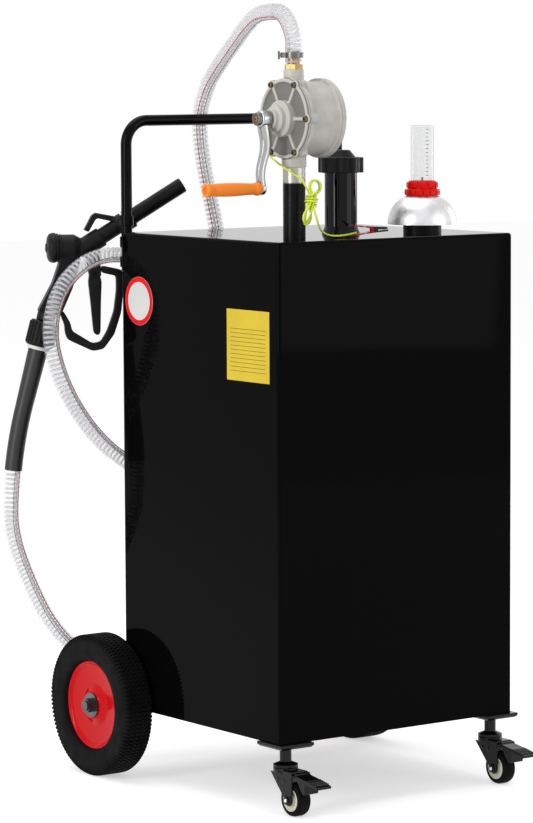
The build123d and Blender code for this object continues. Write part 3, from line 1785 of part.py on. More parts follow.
def hank_wraps_route(last_out):
    """The wraps that tie the hank at its waist, and the wire's way out."""
    side = waist + wire_pitch + wire_gap * half
    front = last_out + wire_pitch + wire_gap * half
    back = -wire_pitch - wire_gap * half
    drop = wire_pitch / 4
    places = [
        (waist, waist_half_height + 2 * wire_radius, last_out),
        (-wire_gap * half, waist_half_height + 2 * wire_pitch, last_out + wire_pitch),
    ]
    for index in range(hank_wraps):
        height = wire_pitch * (hank_wraps * half - index) + drop
        places += [
            (-side, height, front),
            (-side, height - drop, back),
            (side, height - 2 * drop, back),
            (side, height - 3 * drop, front),
        ]
    foot = wire_pitch * (1 + hank_wraps * half)
    places += [
        (-side / 3, -foot, front + 2 * wire_radius),
        (hank_exit_across, -foot - hank_exit_drop, front + 2 * wire_radius + wire_gap * half),
    ]
    return places


loop_places, loops_out = hank_loops_route()
hank_places = loop_places + hank_wraps_route(loops_out)
hank_points = [hank_point(*place) for place in hank_places]
hank_line = cord(hank_points, wire_radius, "ground_hank")

sample_count = 1200
samples = [hank_line @ (index / sample_count) for index in range(sample_count + 1)]
spacing = hank_line.length / sample_count
skip = int(4 * wire_pitch / spacing)
least = min(
    (samples[first] - samples[second]).length
    for first in range(0, sample_count, 2)
    for second in range(first + skip, sample_count, 2)
)
print("ground_hank least gap to itself", round(least - 2 * wire_radius, 2))

lead_points = [
    (-143.7, -76.5, 857.0),
    (-142.5, -94.0, 847.5),
    (-140.5, -113.0, 838.5),
    (-139.2, -132.0, 830.5),
    tuple(Vector(*hank_points[0]) - hank_line % 0 * lead_run),
    hank_points[0],
]
cord(lead_points, wire_radius, "ground_lead")

clip_wire_z = tank_height + clip_rise + clip_plate + wire_radius + 4 * seat_gap
tail_points = [
    hank_points[-1],
    tuple(Vector(*hank_points[-1]) + hank_line % 1 * tail_run),
    (-117.0, -165.5, 751.5),
    (-107.5, -162.0, 743.8),
    (-94.0, -158.5, 739.5),
    (-79.0, -155.5, 738.0),
    (-64.0, -153.0, 738.3),
    (-52.0, -151.0, 739.3),
    (-44.0, -150.0, 740.5),
    (clip_x - clip_length * half + clip_crimp, clip_y, clip_wire_z),
]
cord(tail_points, wire_radius, "ground_tail")

# Clip: two sprung jaws on a pin, with the handles spread at the wire's end
clip_z = tank_height + clip_rise
pivot_x = clip_x + clip_length / 8
pivot_z = clip_z + clip_open * half
clip_tail_x = clip_x - clip_length * half
clip_tip_x = clip_x + clip_length * half
clip_inside = clip_width - 2 * clip_plate
with BuildPart() as clip_lower:
    prism(
        facing_y(0, clip_y, 0),
        (
            (clip_tail_x + wire_radius, clip_z),
            (pivot_x, pivot_z - 2 * clip_pivot_radius),
            (clip_tip_x - clip_plate, pivot_z - 2 * clip_plate),
            (clip_tip_x, pivot_z - clip_plate * half),
            (clip_tip_x - clip_plate, pivot_z - clip_plate * half),
            (pivot_x + 2 * clip_pivot_radius, pivot_z - clip_pivot_radius),
            (pivot_x, pivot_z - clip_plate),
            (clip_tail_x + wire_radius, clip_z + clip_plate),
        ),
        clip_width,
    )
    with Locations(facing_y(pivot_x, clip_y, pivot_z)):
        Cylinder(2 * clip_pivot_radius + seat_gap, clip_inside, align=CENTRED, mode=Mode.SUBTRACT)
    for flank in (-1, 1):
        with Locations(facing_y(pivot_x, clip_y + flank * (clip_width - clip_plate) * half, pivot_z)):
            Cylinder(2 * clip_pivot_radius, clip_plate, align=CENTRED)
    with Locations(facing_y(pivot_x, clip_y, pivot_z)):
        Cylinder(clip_pivot_radius, clip_width, align=CENTRED)
keep(clip_lower, "clip_lower")

with BuildPart() as clip_upper:
    inner_width = clip_inside - 2 * seat_gap
    prism(
        facing_y(0, clip_y, 0),
        (
            (clip_tail_x, clip_z + clip_open),
            (clip_tail_x, clip_z + clip_open - clip_plate),
            (pivot_x - 3 * clip_pivot_radius, pivot_z + clip_pivot_radius),
            (pivot_x, pivot_z - clip_plate * half),
            (pivot_x + 2 * clip_pivot_radius, pivot_z),
            (clip_tip_x - clip_plate, pivot_z),
            (clip_tip_x, pivot_z),
            (clip_tip_x - clip_plate, pivot_z + 2 * clip_plate),
            (pivot_x, pivot_z + 2 * clip_pivot_radius),
        ),
        inner_width,
    )
    with Locations(facing_y(pivot_x, clip_y, pivot_z)):
        Cylinder(2 * clip_pivot_radius, inner_width, align=CENTRED)
        Cylinder(clip_pivot_radius + running_gap, clip_width, align=CENTRED, mode=Mode.SUBTRACT)
keep(clip_upper, "clip_upper")
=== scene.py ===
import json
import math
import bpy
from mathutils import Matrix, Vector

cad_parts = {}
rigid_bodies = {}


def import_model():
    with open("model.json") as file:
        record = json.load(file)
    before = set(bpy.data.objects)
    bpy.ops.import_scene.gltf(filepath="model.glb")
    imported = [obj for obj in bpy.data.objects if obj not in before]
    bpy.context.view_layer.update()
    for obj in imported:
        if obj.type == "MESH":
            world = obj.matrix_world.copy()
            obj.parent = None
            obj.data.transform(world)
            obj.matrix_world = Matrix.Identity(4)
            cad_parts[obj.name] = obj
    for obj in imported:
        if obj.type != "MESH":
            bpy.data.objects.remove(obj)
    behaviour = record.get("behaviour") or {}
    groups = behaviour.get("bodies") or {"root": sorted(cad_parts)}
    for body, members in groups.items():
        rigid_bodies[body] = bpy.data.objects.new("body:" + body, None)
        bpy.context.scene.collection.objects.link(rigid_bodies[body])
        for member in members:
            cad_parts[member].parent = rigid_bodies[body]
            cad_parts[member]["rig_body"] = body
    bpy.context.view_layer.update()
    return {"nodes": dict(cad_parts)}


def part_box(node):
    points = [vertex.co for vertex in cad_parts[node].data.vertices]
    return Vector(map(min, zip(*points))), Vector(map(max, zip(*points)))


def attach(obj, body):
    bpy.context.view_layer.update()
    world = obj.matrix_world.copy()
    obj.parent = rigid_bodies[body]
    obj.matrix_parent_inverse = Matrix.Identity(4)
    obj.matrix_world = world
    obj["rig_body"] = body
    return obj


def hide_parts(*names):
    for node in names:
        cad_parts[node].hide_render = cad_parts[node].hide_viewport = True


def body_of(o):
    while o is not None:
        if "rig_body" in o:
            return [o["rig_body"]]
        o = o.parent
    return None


bl_info = {
    "name": "Fuel Caddy",
    "version": (1, 0, 0),
    "blender": (4, 5, 0),
    "location": "View3D > Sidebar > Fuel Caddy",
    "description": "Builds a wheeled fuel caddy with a rotary pump, a clear hose and a nozzle",
    "category": "Object",
}

import bmesh
import bpy
from mathutils import Matrix, Vector

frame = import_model()
NODES = frame["nodes"]
MM = 0.001
FULL_TURN = 2 * math.pi
IN_PLACE = Matrix.Identity(4)

# The camera and the lamps, in metres: each lamp's name, its width and height, and its place
CAMERA_PLACE = (-3.2557, -4.3372, 1.0035)
CAMERA_FORWARD = (0.58615, 0.80408, -0.09947)
CAMERA_ROLL = math.radians(-0.28)
LAMPS = (
    ("key", (0.8, 2.6), (-3.7, -0.5, 1.5)),
    ("fill", (2.4, 2.4), (1.6, -3.6, 1.4)),
    ("top", (2.6, 2.6), (-0.3, 0.6, 3.6)),
    ("rim", (0.6, 2.4), (3.8, 0.0, 1.2)),
)
LAMP_TARGET = Vector((0.0, 0.0, 0.5))
FLOOR_REACH = 14

# Places, sizes and angles of the caddy's own lines, in millimetres and in the frame's axes
FLOOR_Z = -107.0
PUMP_AXIS = (-105.0, 911.0)
PUMP_FACE_X = -138.0
PUMP_BACK_X = -64.5
CRANK_LOW = (-105.0, 809.0)
CRANK_HUB_X = -173.4
CRANK_EYE_X = -177.4
CRANK_BOLT_X = -177.0
CRANK_DISC_X = -182.0
CRANK_SCREW_X = -186.4
FILLER_AXIS = (3.0, -60.0)
GAUGE_AXIS = (120.0, -110.0)
FIRST_MARK_Z = 822.0
TYRE_RADIUS = 110.0
NOZZLE_ORIGIN = Vector((-175.5, 256.0, 0.0))
NOZZLE_TURN = math.radians(27.0)
NOZZLE_ALONG = Vector((math.cos(NOZZLE_TURN), -math.sin(NOZZLE_TURN), 0.0))
NOZZLE_SIDE = Vector((-math.sin(NOZZLE_TURN), -math.cos(NOZZLE_TURN), 0.0))
BODY_HEIGHT = 709.0
CAP_ALONG = -124.0
BONNET_ALONG = -105.6
SWIVEL_PLACE = (-127.5, 595.5)
SWIVEL_LEAN = math.radians(14.5)

# Where paint changes, in metres: over the clip's length, and at the top of the pipe's black paint
CLIP_SPAN = (-0.044, 0.020)
PIPE_PAINT_TOP = (0.815, 0.818)

# The gauge's marks and the sticker's rules: pitches in millimetres, and the marks' turn from the camera
MARK_PITCH = 5.8
RULE_PITCH = 6.2
MARKS_TURN = 0.42

# How far the clear wall lies inside the hose's radius, in metres, and how finely its spiral and its
# stripes follow their route
WALL_INSET = 0.0003
SPIRAL_POINTS_PER_TURN = 11
STRIPE_POINTS_PER_METRE = 220

# A metal that two pieces have
BRASS = ("turned_brass", (0.3, 0.2, 0.08), 0.34)


def mm(*values):
    """A point given in millimetres, in metres."""
    return Vector([value * MM for value in values])


def nozzle_point(along, height):
    """A point of the nozzle's upright plane, in millimetres."""
    return NOZZLE_ORIGIN + NOZZLE_ALONG * along + Vector((0.0, 0.0, height))


# Sizes and colours that a user may change


def float_prop(name, description, default, least=0.0, **kind):
    """A number setting with a lower limit."""
    return bpy.props.FloatProperty(name=name, description=description, default=default, min=least, **kind)


def length_prop(name, description, default):
    """A length setting, in metres."""
    return float_prop(name, description, default, unit="LENGTH", precision=4)


def share_prop(name, description, default):
    """A setting between nothing and all."""
    return float_prop(name, description, default, max=1.0, subtype="FACTOR")


def power_prop(name, description, default):
    """The power of a lamp, in watts."""
    return float_prop(name, description, default, unit="POWER")


def colour_prop(name, description, default):
    """A colour setting."""
    return bpy.props.FloatVectorProperty(
        name=name, description=description, subtype="COLOR", size=3, min=0.0, max=1.0, default=default
    )


def count_prop(name, description, default):
    """A setting that counts copies."""
    return bpy.props.IntProperty(name=name, description=description, default=default, min=1)


class CaddyStageSettings(bpy.types.PropertyGroup):
    """Floor, lamps and camera."""

    floor_colour: colour_prop("Floor Colour", "Colour of the plain floor", (0.86, 0.86, 0.86))
    floor_lift: share_prop("Floor Lift", "Light that the floor shows of its own", 0.5)
    world_level: float_prop("World Level", "Strength of the soft light from all around", 0.55)
    key_power: power_prop("Key Lamp", "Power of the tall lamp at the left", 60.0)
    fill_power: power_prop("Fill Lamp", "Power of the lamp at the right", 28.0)
    top_power: power_prop("Top Lamp", "Power of the lamp overhead", 45.0)
    rim_power: power_prop("Rim Lamp", "Power of the narrow lamp at the far side", 24.0)
    lens: float_prop("Lens", "Focal length of the camera", 155.76, 1.0, unit="CAMERA")


class CaddyTankSettings(bpy.types.PropertyGroup):
    """Tank, handle and their paint."""

    paint: colour_prop("Paint", "Colour of the powder coat", (0.002, 0.002, 0.0022))
    gloss: share_prop("Roughness", "Roughness of the powder coat", 0.035)
    peel: share_prop("Orange Peel", "Depth of the coat's fine unevenness", 0.008)


class CaddyWheelSettings(bpy.types.PropertyGroup):
    """Rear wheels and casters."""

    rim_colour: colour_prop("Rim Colour", "Enamel of the rear rims", (0.6, 0.002, 0.005))
    rubber_colour: colour_prop("Rubber Colour", "Colour of the solid tyres", (0.0045, 0.0045, 0.0048))
    tread_count: count_prop("Tread Pitches", "Copies of the tread round each tyre", 104)
    tread_depth: length_prop("Tread Depth", "Height of the tread over its base", 0.0017)
    caster_rim_colour: colour_prop("Caster Rim", "Colour of the caster wheels' rims", (0.72, 0.7, 0.6))


class CaddyPumpSettings(bpy.types.PropertyGroup):
    """Rotary pump and its crank."""

    casting: colour_prop("Casting", "Paint on the pump's castings", (0.53, 0.514, 0.476))
    grain: share_prop("Sand Grain", "Depth of the cast surface's grain", 0.22)
    fillet: length_prop("Casting Fillet", "Voxel that rounds the castings' corners", 0.0011)
    screw_count: count_prop("Cover Screws", "Screws round the pump's cover", 6)
    grip_colour: colour_prop("Grip Colour", "Colour of the crank's grip", (0.98, 0.27, 0.036))


class CaddyHoseSettings(bpy.types.PropertyGroup):
    """Clear hose with its spiral and stripes."""

    radius: length_prop("Hose Radius", "Outer radius of the hose", 0.013)
    wall_colour: colour_prop("Wall", "Tint of the clear wall", (0.8, 0.805, 0.83))
    wall_alpha: share_prop("Wall Density", "How much the clear wall hides", 0.14)
    pitch: length_prop("Spiral Pitch", "Length of hose to one turn of the spiral", 0.0074)
    spiral_wire: length_prop("Spiral Wire", "Radius of the spiral's wire", 0.0019)
    spiral_colour: colour_prop("Spiral Colour", "Colour of the spiral", (0.84, 0.84, 0.87))
    dark_stripe: colour_prop("Dark Stripe", "Colour of the dark tracer", (0.03, 0.032, 0.06))
    red_stripe: colour_prop("Red Stripe", "Colour of the red tracer", (0.5, 0.012, 0.03))


class CaddyWireSettings(bpy.types.PropertyGroup):
    """Ground wire and its clip."""

    radius: length_prop("Wire Radius", "Outer radius of the ground wire", 0.0015)
    yellow: colour_prop("Yellow", "Main colour of the sheath", (0.8, 0.86, 0.045))
    green: colour_prop("Green", "Stripe of the sheath", (0.12, 0.62, 0.12))


class CaddyGaugeSettings(bpy.types.PropertyGroup):
    """Level gauge."""

    ring_colour: colour_prop("Ring Colour", "Colour of the locking ring", (0.8, 0.008, 0.006))
    ring_teeth: count_prop("Ring Teeth", "Lobes round the locking ring", 15)
    mark_count: count_prop("Marks", "Graduations on the clear tube", 13)


class CaddyNozzleSettings(bpy.types.PropertyGroup):
    """Nozzle, swivel and sleeve."""

    plastic: colour_prop("Plastic", "Colour of the nozzle", (0.0075, 0.0075, 0.0078))
    ribs: count_prop("Swivel Ribs", "Ribs round the swivel", 20)
    ridges: count_prop("Bonnet Ridges", "Ridges round the bonnet behind the end cap", 5)


class CaddyStickerSettings(bpy.types.PropertyGroup):
    """Blank stickers."""

    yellow: colour_prop("Yellow Film", "Film of the square sticker", (0.66, 0.48, 0.001))
    red: colour_prop("Red Ring", "Ring of the round sticker", (0.74, 0.008, 0.012))
    lines: count_prop("Ruled Lines", "Blank ruled lines on the square sticker", 11)


SETTING_GROUPS = {
    "stage": CaddyStageSettings,
    "tank": CaddyTankSettings,
    "wheels": CaddyWheelSettings,
    "pump": CaddyPumpSettings,
    "hose": CaddyHoseSettings,
    "wire": CaddyWireSettings,
    "gauge": CaddyGaugeSettings,
    "nozzle": CaddyNozzleSettings,
    "stickers": CaddyStickerSettings,
}


def settings(name):
    """One group of the scene's settings."""
    return getattr(bpy.context.scene, f"caddy_{name}")


# Nodes and materials


def node(tree, kind, output, inputs, **fields):
    """Adds a node, feeds its inputs with sockets or plain values, and gives one of its outputs."""
    made = tree.nodes.new(kind)
    for key, value in fields.items():
        setattr(made, key, value)
    for key, value in inputs.items():
        if isinstance(value, bpy.types.NodeSocket):
            tree.links.new(value, made.inputs[key])
        else:
            made.inputs[key].default_value = value
    return made.outputs[output]


def calc(tree, operation, first, second):
    """The result of a math node on two values or sockets."""
    return node(tree, "ShaderNodeMath", "Value", {0: first, 1: second}, operation=operation)


def seen_rays(tree):
    """One where the camera, a mirror or clear plastic looks, and nothing elsewhere."""
    rays = tree.nodes.new("ShaderNodeLightPath").outputs
    total = rays["Is Camera Ray"]
    for name in ("Is Glossy Ray", "Is Transmission Ray"):
        total = calc(tree, "MAXIMUM", total, rays[name])
    return total


def made_once(build):
    """Makes a builder of materials give back the material of that name, if there is one."""

    def fetch(name, *values, **more):
        return bpy.data.materials.get(name) or build(name, *values, **more)

    fetch.__doc__ = build.__doc__
    return fetch


@made_once
def finish(name, colour, roughness, metallic=0.0, specular=0.5, ior=1.5, alpha=1.0):
    """A material with its plain values on the shader's own sockets."""
    made = bpy.data.materials.new(name)
    made.use_nodes = True
    inputs = made.node_tree.nodes["Principled BSDF"].inputs
    inputs["Base Color"].default_value = (*colour, 1.0)
    inputs["Roughness"].default_value = roughness
    inputs["Metallic"].default_value = metallic
    inputs["Specular IOR Level"].default_value = specular
    inputs["IOR"].default_value = ior
    inputs["Alpha"].default_value = alpha
    return made


def feed(made, socket, value):
    """Links a value to one input of the material's shader."""
    tree = made.node_tree
    tree.links.new(value, tree.nodes["Principled BSDF"].inputs[socket])
    return made


def object_place(made):
    """Object coordinates."""
    return node(made.node_tree, "ShaderNodeTexCoord", "Object", {})


def noise(made, scale, detail=3.0):
    """A noise value over object coordinates."""
    inputs = {"Vector": object_place(made), "Scale": scale, "Detail": detail}
    return node(made.node_tree, "ShaderNodeTexNoise", "Fac", inputs)


def along_axis(made, axis, start, end):
    """A value that rises from nothing to one between two places on an axis, in metres."""
    tree = made.node_tree
    place = node(tree, "ShaderNodeSeparateXYZ", axis, {"Vector": object_place(made)})
    return node(tree, "ShaderNodeMapRange", "Result", {"Value": place, "From Min": start, "From Max": end})


def bumped(made, value, strength, distance):
    """Adds a bump from a value."""
    inputs = {"Height": value, "Strength": strength, "Distance": distance}
    return feed(made, "Normal", node(made.node_tree, "ShaderNodeBump", "Normal", inputs))


def roughened(made, value, low, high):
    """Roughness that varies with a noise value."""
    inputs = {"Value": value, "From Min": 0.3, "From Max": 0.7, "To Min": low, "To Max": high}
    return feed(made, "Roughness", node(made.node_tree, "ShaderNodeMapRange", "Result", inputs))


def ramped(made, value, stops, interpolation="LINEAR"):
    """Colour that runs through stops of (position, colour) with a value."""
    ramp = made.node_tree.nodes.new("ShaderNodeValToRGB")
    ramp.color_ramp.interpolation = interpolation
    elements = ramp.color_ramp.elements
    for _ in stops[2:]:
        elements.new(0.5)
    for element, (position, colour) in zip(elements, stops):
        element.position = position
        element.color = (*colour, 1.0)
    made.node_tree.links.new(value, ramp.inputs["Fac"])
    return feed(made, "Base Color", ramp.outputs["Color"])


def tinted(made, value, first, second, low=0.35, high=0.65):
    """Colour that runs from one to another with a value."""
    return ramped(made, value, ((low, first), (high, second)))


def shade(colour, factor):
    """A colour, lighter or darker."""
    return tuple(min(1.0, channel * factor) for channel in colour)


@made_once
def gloss_paint(name, ior=1.085):
    """Glossy black powder coat with a fine orange peel."""
    tank = settings("tank")
    made = finish(name, tank.paint, tank.gloss, ior=ior)
    bumped(made, noise(made, 420.0, 2.0), tank.peel, 0.0003)
    return roughened(made, noise(made, 9.0, 4.0), tank.gloss * 0.75, tank.gloss * 1.35)


@made_once
def cast_paint(name, painted_recess_shade=False):
    """Warm grey paint over a sand casting, darker on the cover's sunken face."""
    pump = settings("pump")
    made = finish(name, pump.casting, 0.42, specular=0.35)
    if painted_recess_shade:
        # Painted shade: a dark band at the depth of the cover's sunken face stands for the shade in that
        # recess.
        depth = along_axis(made, "X", (PUMP_FACE_X - 1.0) * MM, (PUMP_FACE_X + 9.0) * MM)
        dark = shade(pump.casting, 0.35)
        ramped(made, depth, ((0.2, pump.casting), (0.42, dark), (0.54, dark), (0.6, pump.casting)))
    else:
        tinted(made, noise(made, 38.0, 5.0), shade(pump.casting, 0.9), shade(pump.casting, 1.08))
    roughened(made, noise(made, 90.0), 0.34, 0.52)
    return bumped(made, noise(made, 900.0), pump.grain, 0.0005)


@made_once
def satin_plastic(name):
    """Satin black moulded plastic."""
    made = finish(name, settings("nozzle").plastic, 0.4, ior=1.22)
    roughened(made, noise(made, 60.0, 4.0), 0.36, 0.5)
    return bumped(made, noise(made, 1600.0, 2.0), 0.18, 0.0002)


@made_once
def matte_rubber(name):
    """Matte rubber with a dusty sheen."""
    colour = settings("wheels").rubber_colour
    made = finish(name, colour, 0.68, ior=1.15)
    tinted(made, noise(made, 26.0, 5.0), shade(colour, 0.8), shade(colour, 1.7))
    roughened(made, noise(made, 70.0, 4.0), 0.58, 0.8)
    return bumped(made, noise(made, 1100.0), 0.3, 0.0003)


@made_once
def plated(name, colour, roughness, scale=220.0, grain=0.12):
    """A plated or bare metal with fine unevenness."""
    made = finish(name, colour, roughness, metallic=1.0)
    roughened(made, noise(made, scale, 4.0), roughness * 0.75, roughness * 1.4)
    tinted(made, noise(made, scale * 0.2, 4.0), shade(colour, 0.86), shade(colour, 1.1))
    return bumped(made, noise(made, scale * 3.0, 2.0), grain, 0.0002)


@made_once
def enamel(name, colour, roughness):
    """Glossy enamel, printed film or glossy moulded plastic."""
    made = finish(name, colour, roughness, ior=1.2)
    roughened(made, noise(made, 30.0), roughness * 0.8, roughness * 1.4)
    return bumped(made, noise(made, 500.0, 2.0), 0.05, 0.0002)


@made_once
def vinyl(name, colour, alpha=1.0, roughness=0.3, wavy=0.05):
    """Soft vinyl, clear or coloured."""
    made = finish(name, colour, roughness, alpha=alpha)
    return bumped(made, noise(made, 120.0, 2.0), wavy, 0.0004)


@made_once
def sticker_film(name, colour, first, second):
    """Printed film whose colour varies a little."""
    made = finish(name, colour, 0.3)
    return tinted(made, noise(made, 16.0, 2.0), first, second)


@made_once
def banded_clip(name):
    """Red handles, a bare crimp, and a black boot on the jaws."""
    red = (0.5, 0.01, 0.01)
    made = enamel(name, red, 0.22)
    bands = ((0.0, red), (0.27, (0.5, 0.5, 0.48)), (0.36, red), (0.57, (0.01, 0.01, 0.01)))
    return ramped(made, along_axis(made, "X", *CLIP_SPAN), bands, "CONSTANT")


@made_once
def two_tone_pipe(name):
    """Bare steel at the top of the pipe, and black paint below."""
    bare = (0.4, 0.39, 0.34)
    made = plated(name, bare, 0.3)
    return tinted(made, along_axis(made, "Z", *PIPE_PAINT_TOP), (0.01, 0.01, 0.011), bare, 0.0, 1.0)


# Forms, in bmesh, from sizes in millimetres


def soft_corners(points, reach, steps=4, closed=True):
    """An outline with each corner rounded over a reach."""
    points = [Vector(point) for point in points]
    count = len(points)
    out = []
    for index, corner in enumerate(points):
        if not closed and index in (0, count - 1):
            out.append(corner)
            continue
        before = points[index - 1] - corner
        after = points[(index + 1) % count] - corner
        cut = min(reach, before.length * 0.48, after.length * 0.48)
        start = corner + before.normalized() * cut
        end = corner + after.normalized() * cut
        for step in range(steps + 1):
            t = step / steps
            out.append(start * (1 - t) ** 2 + corner * 2 * t * (1 - t) + end * t**2)
    return out


def mirrored(half):
    """Half an outline, then its mirror image about the middle."""
    return [*half, *[(-along, radius) for along, radius in reversed(half)]]


def eased(outline, rounds):
    """An outline whose corners are cut again and again until they run smoothly."""
    points = [Vector(point) for point in outline]
    for _ in range(rounds):
        cut = []
        for first, second in zip(points, points[1:] + points[:1]):
            share = min(0.25, 2.5 / max((second - first).length, 1e-6))
            cut += [first.lerp(second, share), first.lerp(second, 1.0 - share)]
        points = cut
    return points


def place_of(origin, axis=(0.0, 0.0, 1.0)):
    """A placement in metres from a point in millimetres and the direction of its z axis."""
    axis = Vector(axis).normalized()
    side = Vector((0.0, 0.0, 1.0)) if abs(axis.z) < 0.9 else Vector((1.0, 0.0, 0.0))
    first = side.cross(axis).normalized()
    turn = Matrix((first, axis.cross(first), axis)).transposed().to_4x4()
    return Matrix.Translation(Vector(origin) * MM) @ turn


def centre_of(name):
    """The middle of a CAD node's box, in millimetres."""
    low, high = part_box(name)
    return (low + high) / 2 / MM


def round_point(form, angle, radius, along):
    """A new point of a form, at an angle and a radius about the z axis."""
    return form.verts.new((math.cos(angle) * radius * MM, math.sin(angle) * radius * MM, along * MM))


def turned_form(outline, placement, steps, closed=True):
    """A turned form from places along an axis and radii."""
    form = bmesh.new()
    rings = []
    for along, radius in outline:
        if radius < 1e-6:
            rings.append([form.verts.new((0.0, 0.0, along * MM))])
        else:
            angles = [FULL_TURN * step / steps for step in range(steps)]
            rings.append([round_point(form, angle, radius, along) for angle in angles])
    pairs = list(zip(rings, rings[1:]))
    if closed:
        pairs.append((rings[-1], rings[0]))
    for first, second in pairs:
        for step in range(steps):
            after = (step + 1) % steps
            corners = [first[step % len(first)], first[after % len(first)]]
            corners += [second[after % len(second)], second[step % len(second)]]
            unique = list(dict.fromkeys(corners))
            if len(unique) > 2:
                form.faces.new(unique)
    bmesh.ops.recalc_face_normals(form, faces=form.faces)
    form.transform(placement)
    return form


def skinned(form, rings, placement):
    """A form with its rings of points joined and its two ends closed, put in its place."""
    for first, second in zip(rings, rings[1:]):
        for index in range(len(first)):
            after = (index + 1) % len(first)
            form.faces.new((first[index], first[after], second[after], second[index]))
    form.faces.new(rings[0])
    form.faces.new(rings[-1])
    bmesh.ops.recalc_face_normals(form, faces=form.faces)
    form.transform(placement)
    return form


def slab_form(size, placement, bevel=0.0, segments=2):
    """A box with softened edges."""
    form = bmesh.new()
    bmesh.ops.create_cube(form, size=1.0)
    bmesh.ops.scale(form, vec=mm(*size), verts=form.verts)
    if bevel:
        bmesh.ops.bevel(
            form, geom=form.edges[:], offset=bevel * MM, segments=segments, affect="EDGES", profile=0.5
        )
    form.transform(placement)
    return form


def cushion_form(outline, thickness, placement, edge, steps=4):
    """A flat-sided form with rounded rims from a smooth outline."""
    points = list(outline)
    following = points[1:] + points[:1]
    if sum(a.x * b.y - b.x * a.y for a, b in zip(points, following)) < 0:
        points.reverse()
    inward = []
    for index in range(len(points)):
        run = (points[(index + 1) % len(points)] - points[index - 1]).normalized()
        inward.append(Vector((-run.y, run.x)))
    form = bmesh.new()
    layers = []
    for side in (-1.0, 1.0):
        for step in range(steps + 1):
            angle = math.pi / 2 * (step if side < 0 else steps - step) / steps
            inset = edge * (1.0 - math.sin(angle))
            height = side * (thickness / 2 - edge * (1.0 - math.cos(angle)))
            ring = [point + push * inset for point, push in zip(points, inward)]
            layers.append([form.verts.new((v.x * MM, v.y * MM, height * MM)) for v in ring])
    return skinned(form, layers, placement)


def spine_form(stations, section, placement):
    """A form that follows stations of (height, shift, width, thickness) with one section."""
    form = bmesh.new()
    rings = []
    for height, shift, width, thickness in stations:
        ring = [((shift + v * thickness) * MM, u * width * MM, height * MM) for u, v in section]
        rings.append([form.verts.new(point) for point in ring])
    return skinned(form, rings, placement)


def screw_form(radius, height):
    """A socket screw with a rounded head on a washer face, standing along z."""
    socket = radius * 0.5
    outline = [
        (0.0, 0.0),
        (0.0, radius * 1.12),
        (0.7, radius * 1.12),
        (0.7, radius),
        (height - 0.7, radius),
        (height, radius - 0.7),
        (height, socket),
        (height - 1.8, socket),
        (height - 1.8, 0.0),
    ]
    return turned_form(outline, IN_PLACE, 24, False)


# Pieces. A kind is a piece's material, the body that it rides on, and its material slot


def added(name, data):
    """A new object in the scene."""
    thing = bpy.data.objects.new(name, data)
    bpy.context.scene.collection.objects.link(thing)
    return thing


def discard(thing):
    """Removes a helper object and its data."""
    data = thing.data
    bpy.data.objects.remove(thing)
    if isinstance(data, bpy.types.Mesh):
        bpy.data.meshes.remove(data)
    else:
        bpy.data.curves.remove(data)


def mesh_from(name, form):
    """The mesh of a form, which is used up."""
    mesh = bpy.data.meshes.new(name)
    form.to_mesh(mesh)
    form.free()
    return mesh


def joined(*forms):
    """Several forms in one."""
    whole = bmesh.new()
    for form in forms:
        spare = mesh_from("spare", form)
        whole.from_mesh(spare)
        bpy.data.meshes.remove(spare)
    return whole


def smoothed(mesh, angle):
    """Shades a mesh smoothly, but for edges sharper than an angle in degrees."""
    mesh.shade_smooth()
    if angle:
        mesh.set_sharp_from_angle(angle=math.radians(angle))


def settle(piece, kind, stands_for=(), smooth=32.0):
    """Coats a piece, shades it and puts it on its body."""
    coat, body, slot = kind
    piece.data.materials.clear()
    piece.data.materials.append(coat)
    smoothed(piece.data, smooth)
    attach(piece, body)
    if stands_for:
        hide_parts(*stands_for)
    return piece


def piece_from(name, form, kind, stands_for=(), smooth=32.0):
    """A finished piece from a form."""
    return settle(added(name, mesh_from(name, form)), kind, stands_for, smooth)


def turned(name, outline, placement, steps, kind, stands_for=(), smooth=32.0, closed=True):
    """A finished turned piece."""
    return piece_from(name, turned_form(outline, placement, steps, closed), kind, stands_for, smooth)


def coated(coat, *names):
    """Gives CAD nodes a material."""
    for name in names:
        mesh = NODES[name].data
        mesh.materials.clear()
        mesh.materials.append(coat)


def evaluated_mesh(thing, name):
    """The plain mesh that an object's modifiers or its curve make."""
    bpy.context.view_layer.update()
    graph = bpy.context.evaluated_depsgraph_get()
    mesh = bpy.data.meshes.new_from_object(
        thing.evaluated_get(graph), preserve_all_data_layers=True, depsgraph=graph
    )
    mesh.name = name
    return mesh


def moulded(source, coat, slot, voxel, passes):
    """A copy of a CAD node with the filleted corners of a casting or a moulding, standing for it."""
    form = bmesh.new()
    form.from_mesh(NODES[source].data)
    bmesh.ops.remove_doubles(form, verts=form.verts, dist=1e-6)
    draft = added("draft", mesh_from("draft", form))
    remesh = draft.modifiers.new("Voxels", "REMESH")
    remesh.mode = "VOXEL"
    remesh.voxel_size = voxel * MM
    remesh.adaptivity = 0.0
    ease = draft.modifiers.new("Ease", "SMOOTH")
    ease.factor = 0.5
    ease.iterations = passes
    name = f"{source}_moulded"
    mesh = evaluated_mesh(draft, name)
    discard(draft)
    return settle(added(name, mesh), (coat, body_of(NODES[source])[0], slot), (source,), 60.0)


# Geometry node trees for what repeats. A recipe is a tree's name, what fills it, and its named inputs


def copies_on(tree, given, points, **turned_by):
    """Copies of the item, one on each point."""
    item = node(tree, "GeometryNodeObjectInfo", "Geometry", {"Object": given["Item"]})
    inputs = {"Points": points, "Instance": item, **turned_by}
    return node(tree, "GeometryNodeInstanceOnPoints", "Instances", inputs)


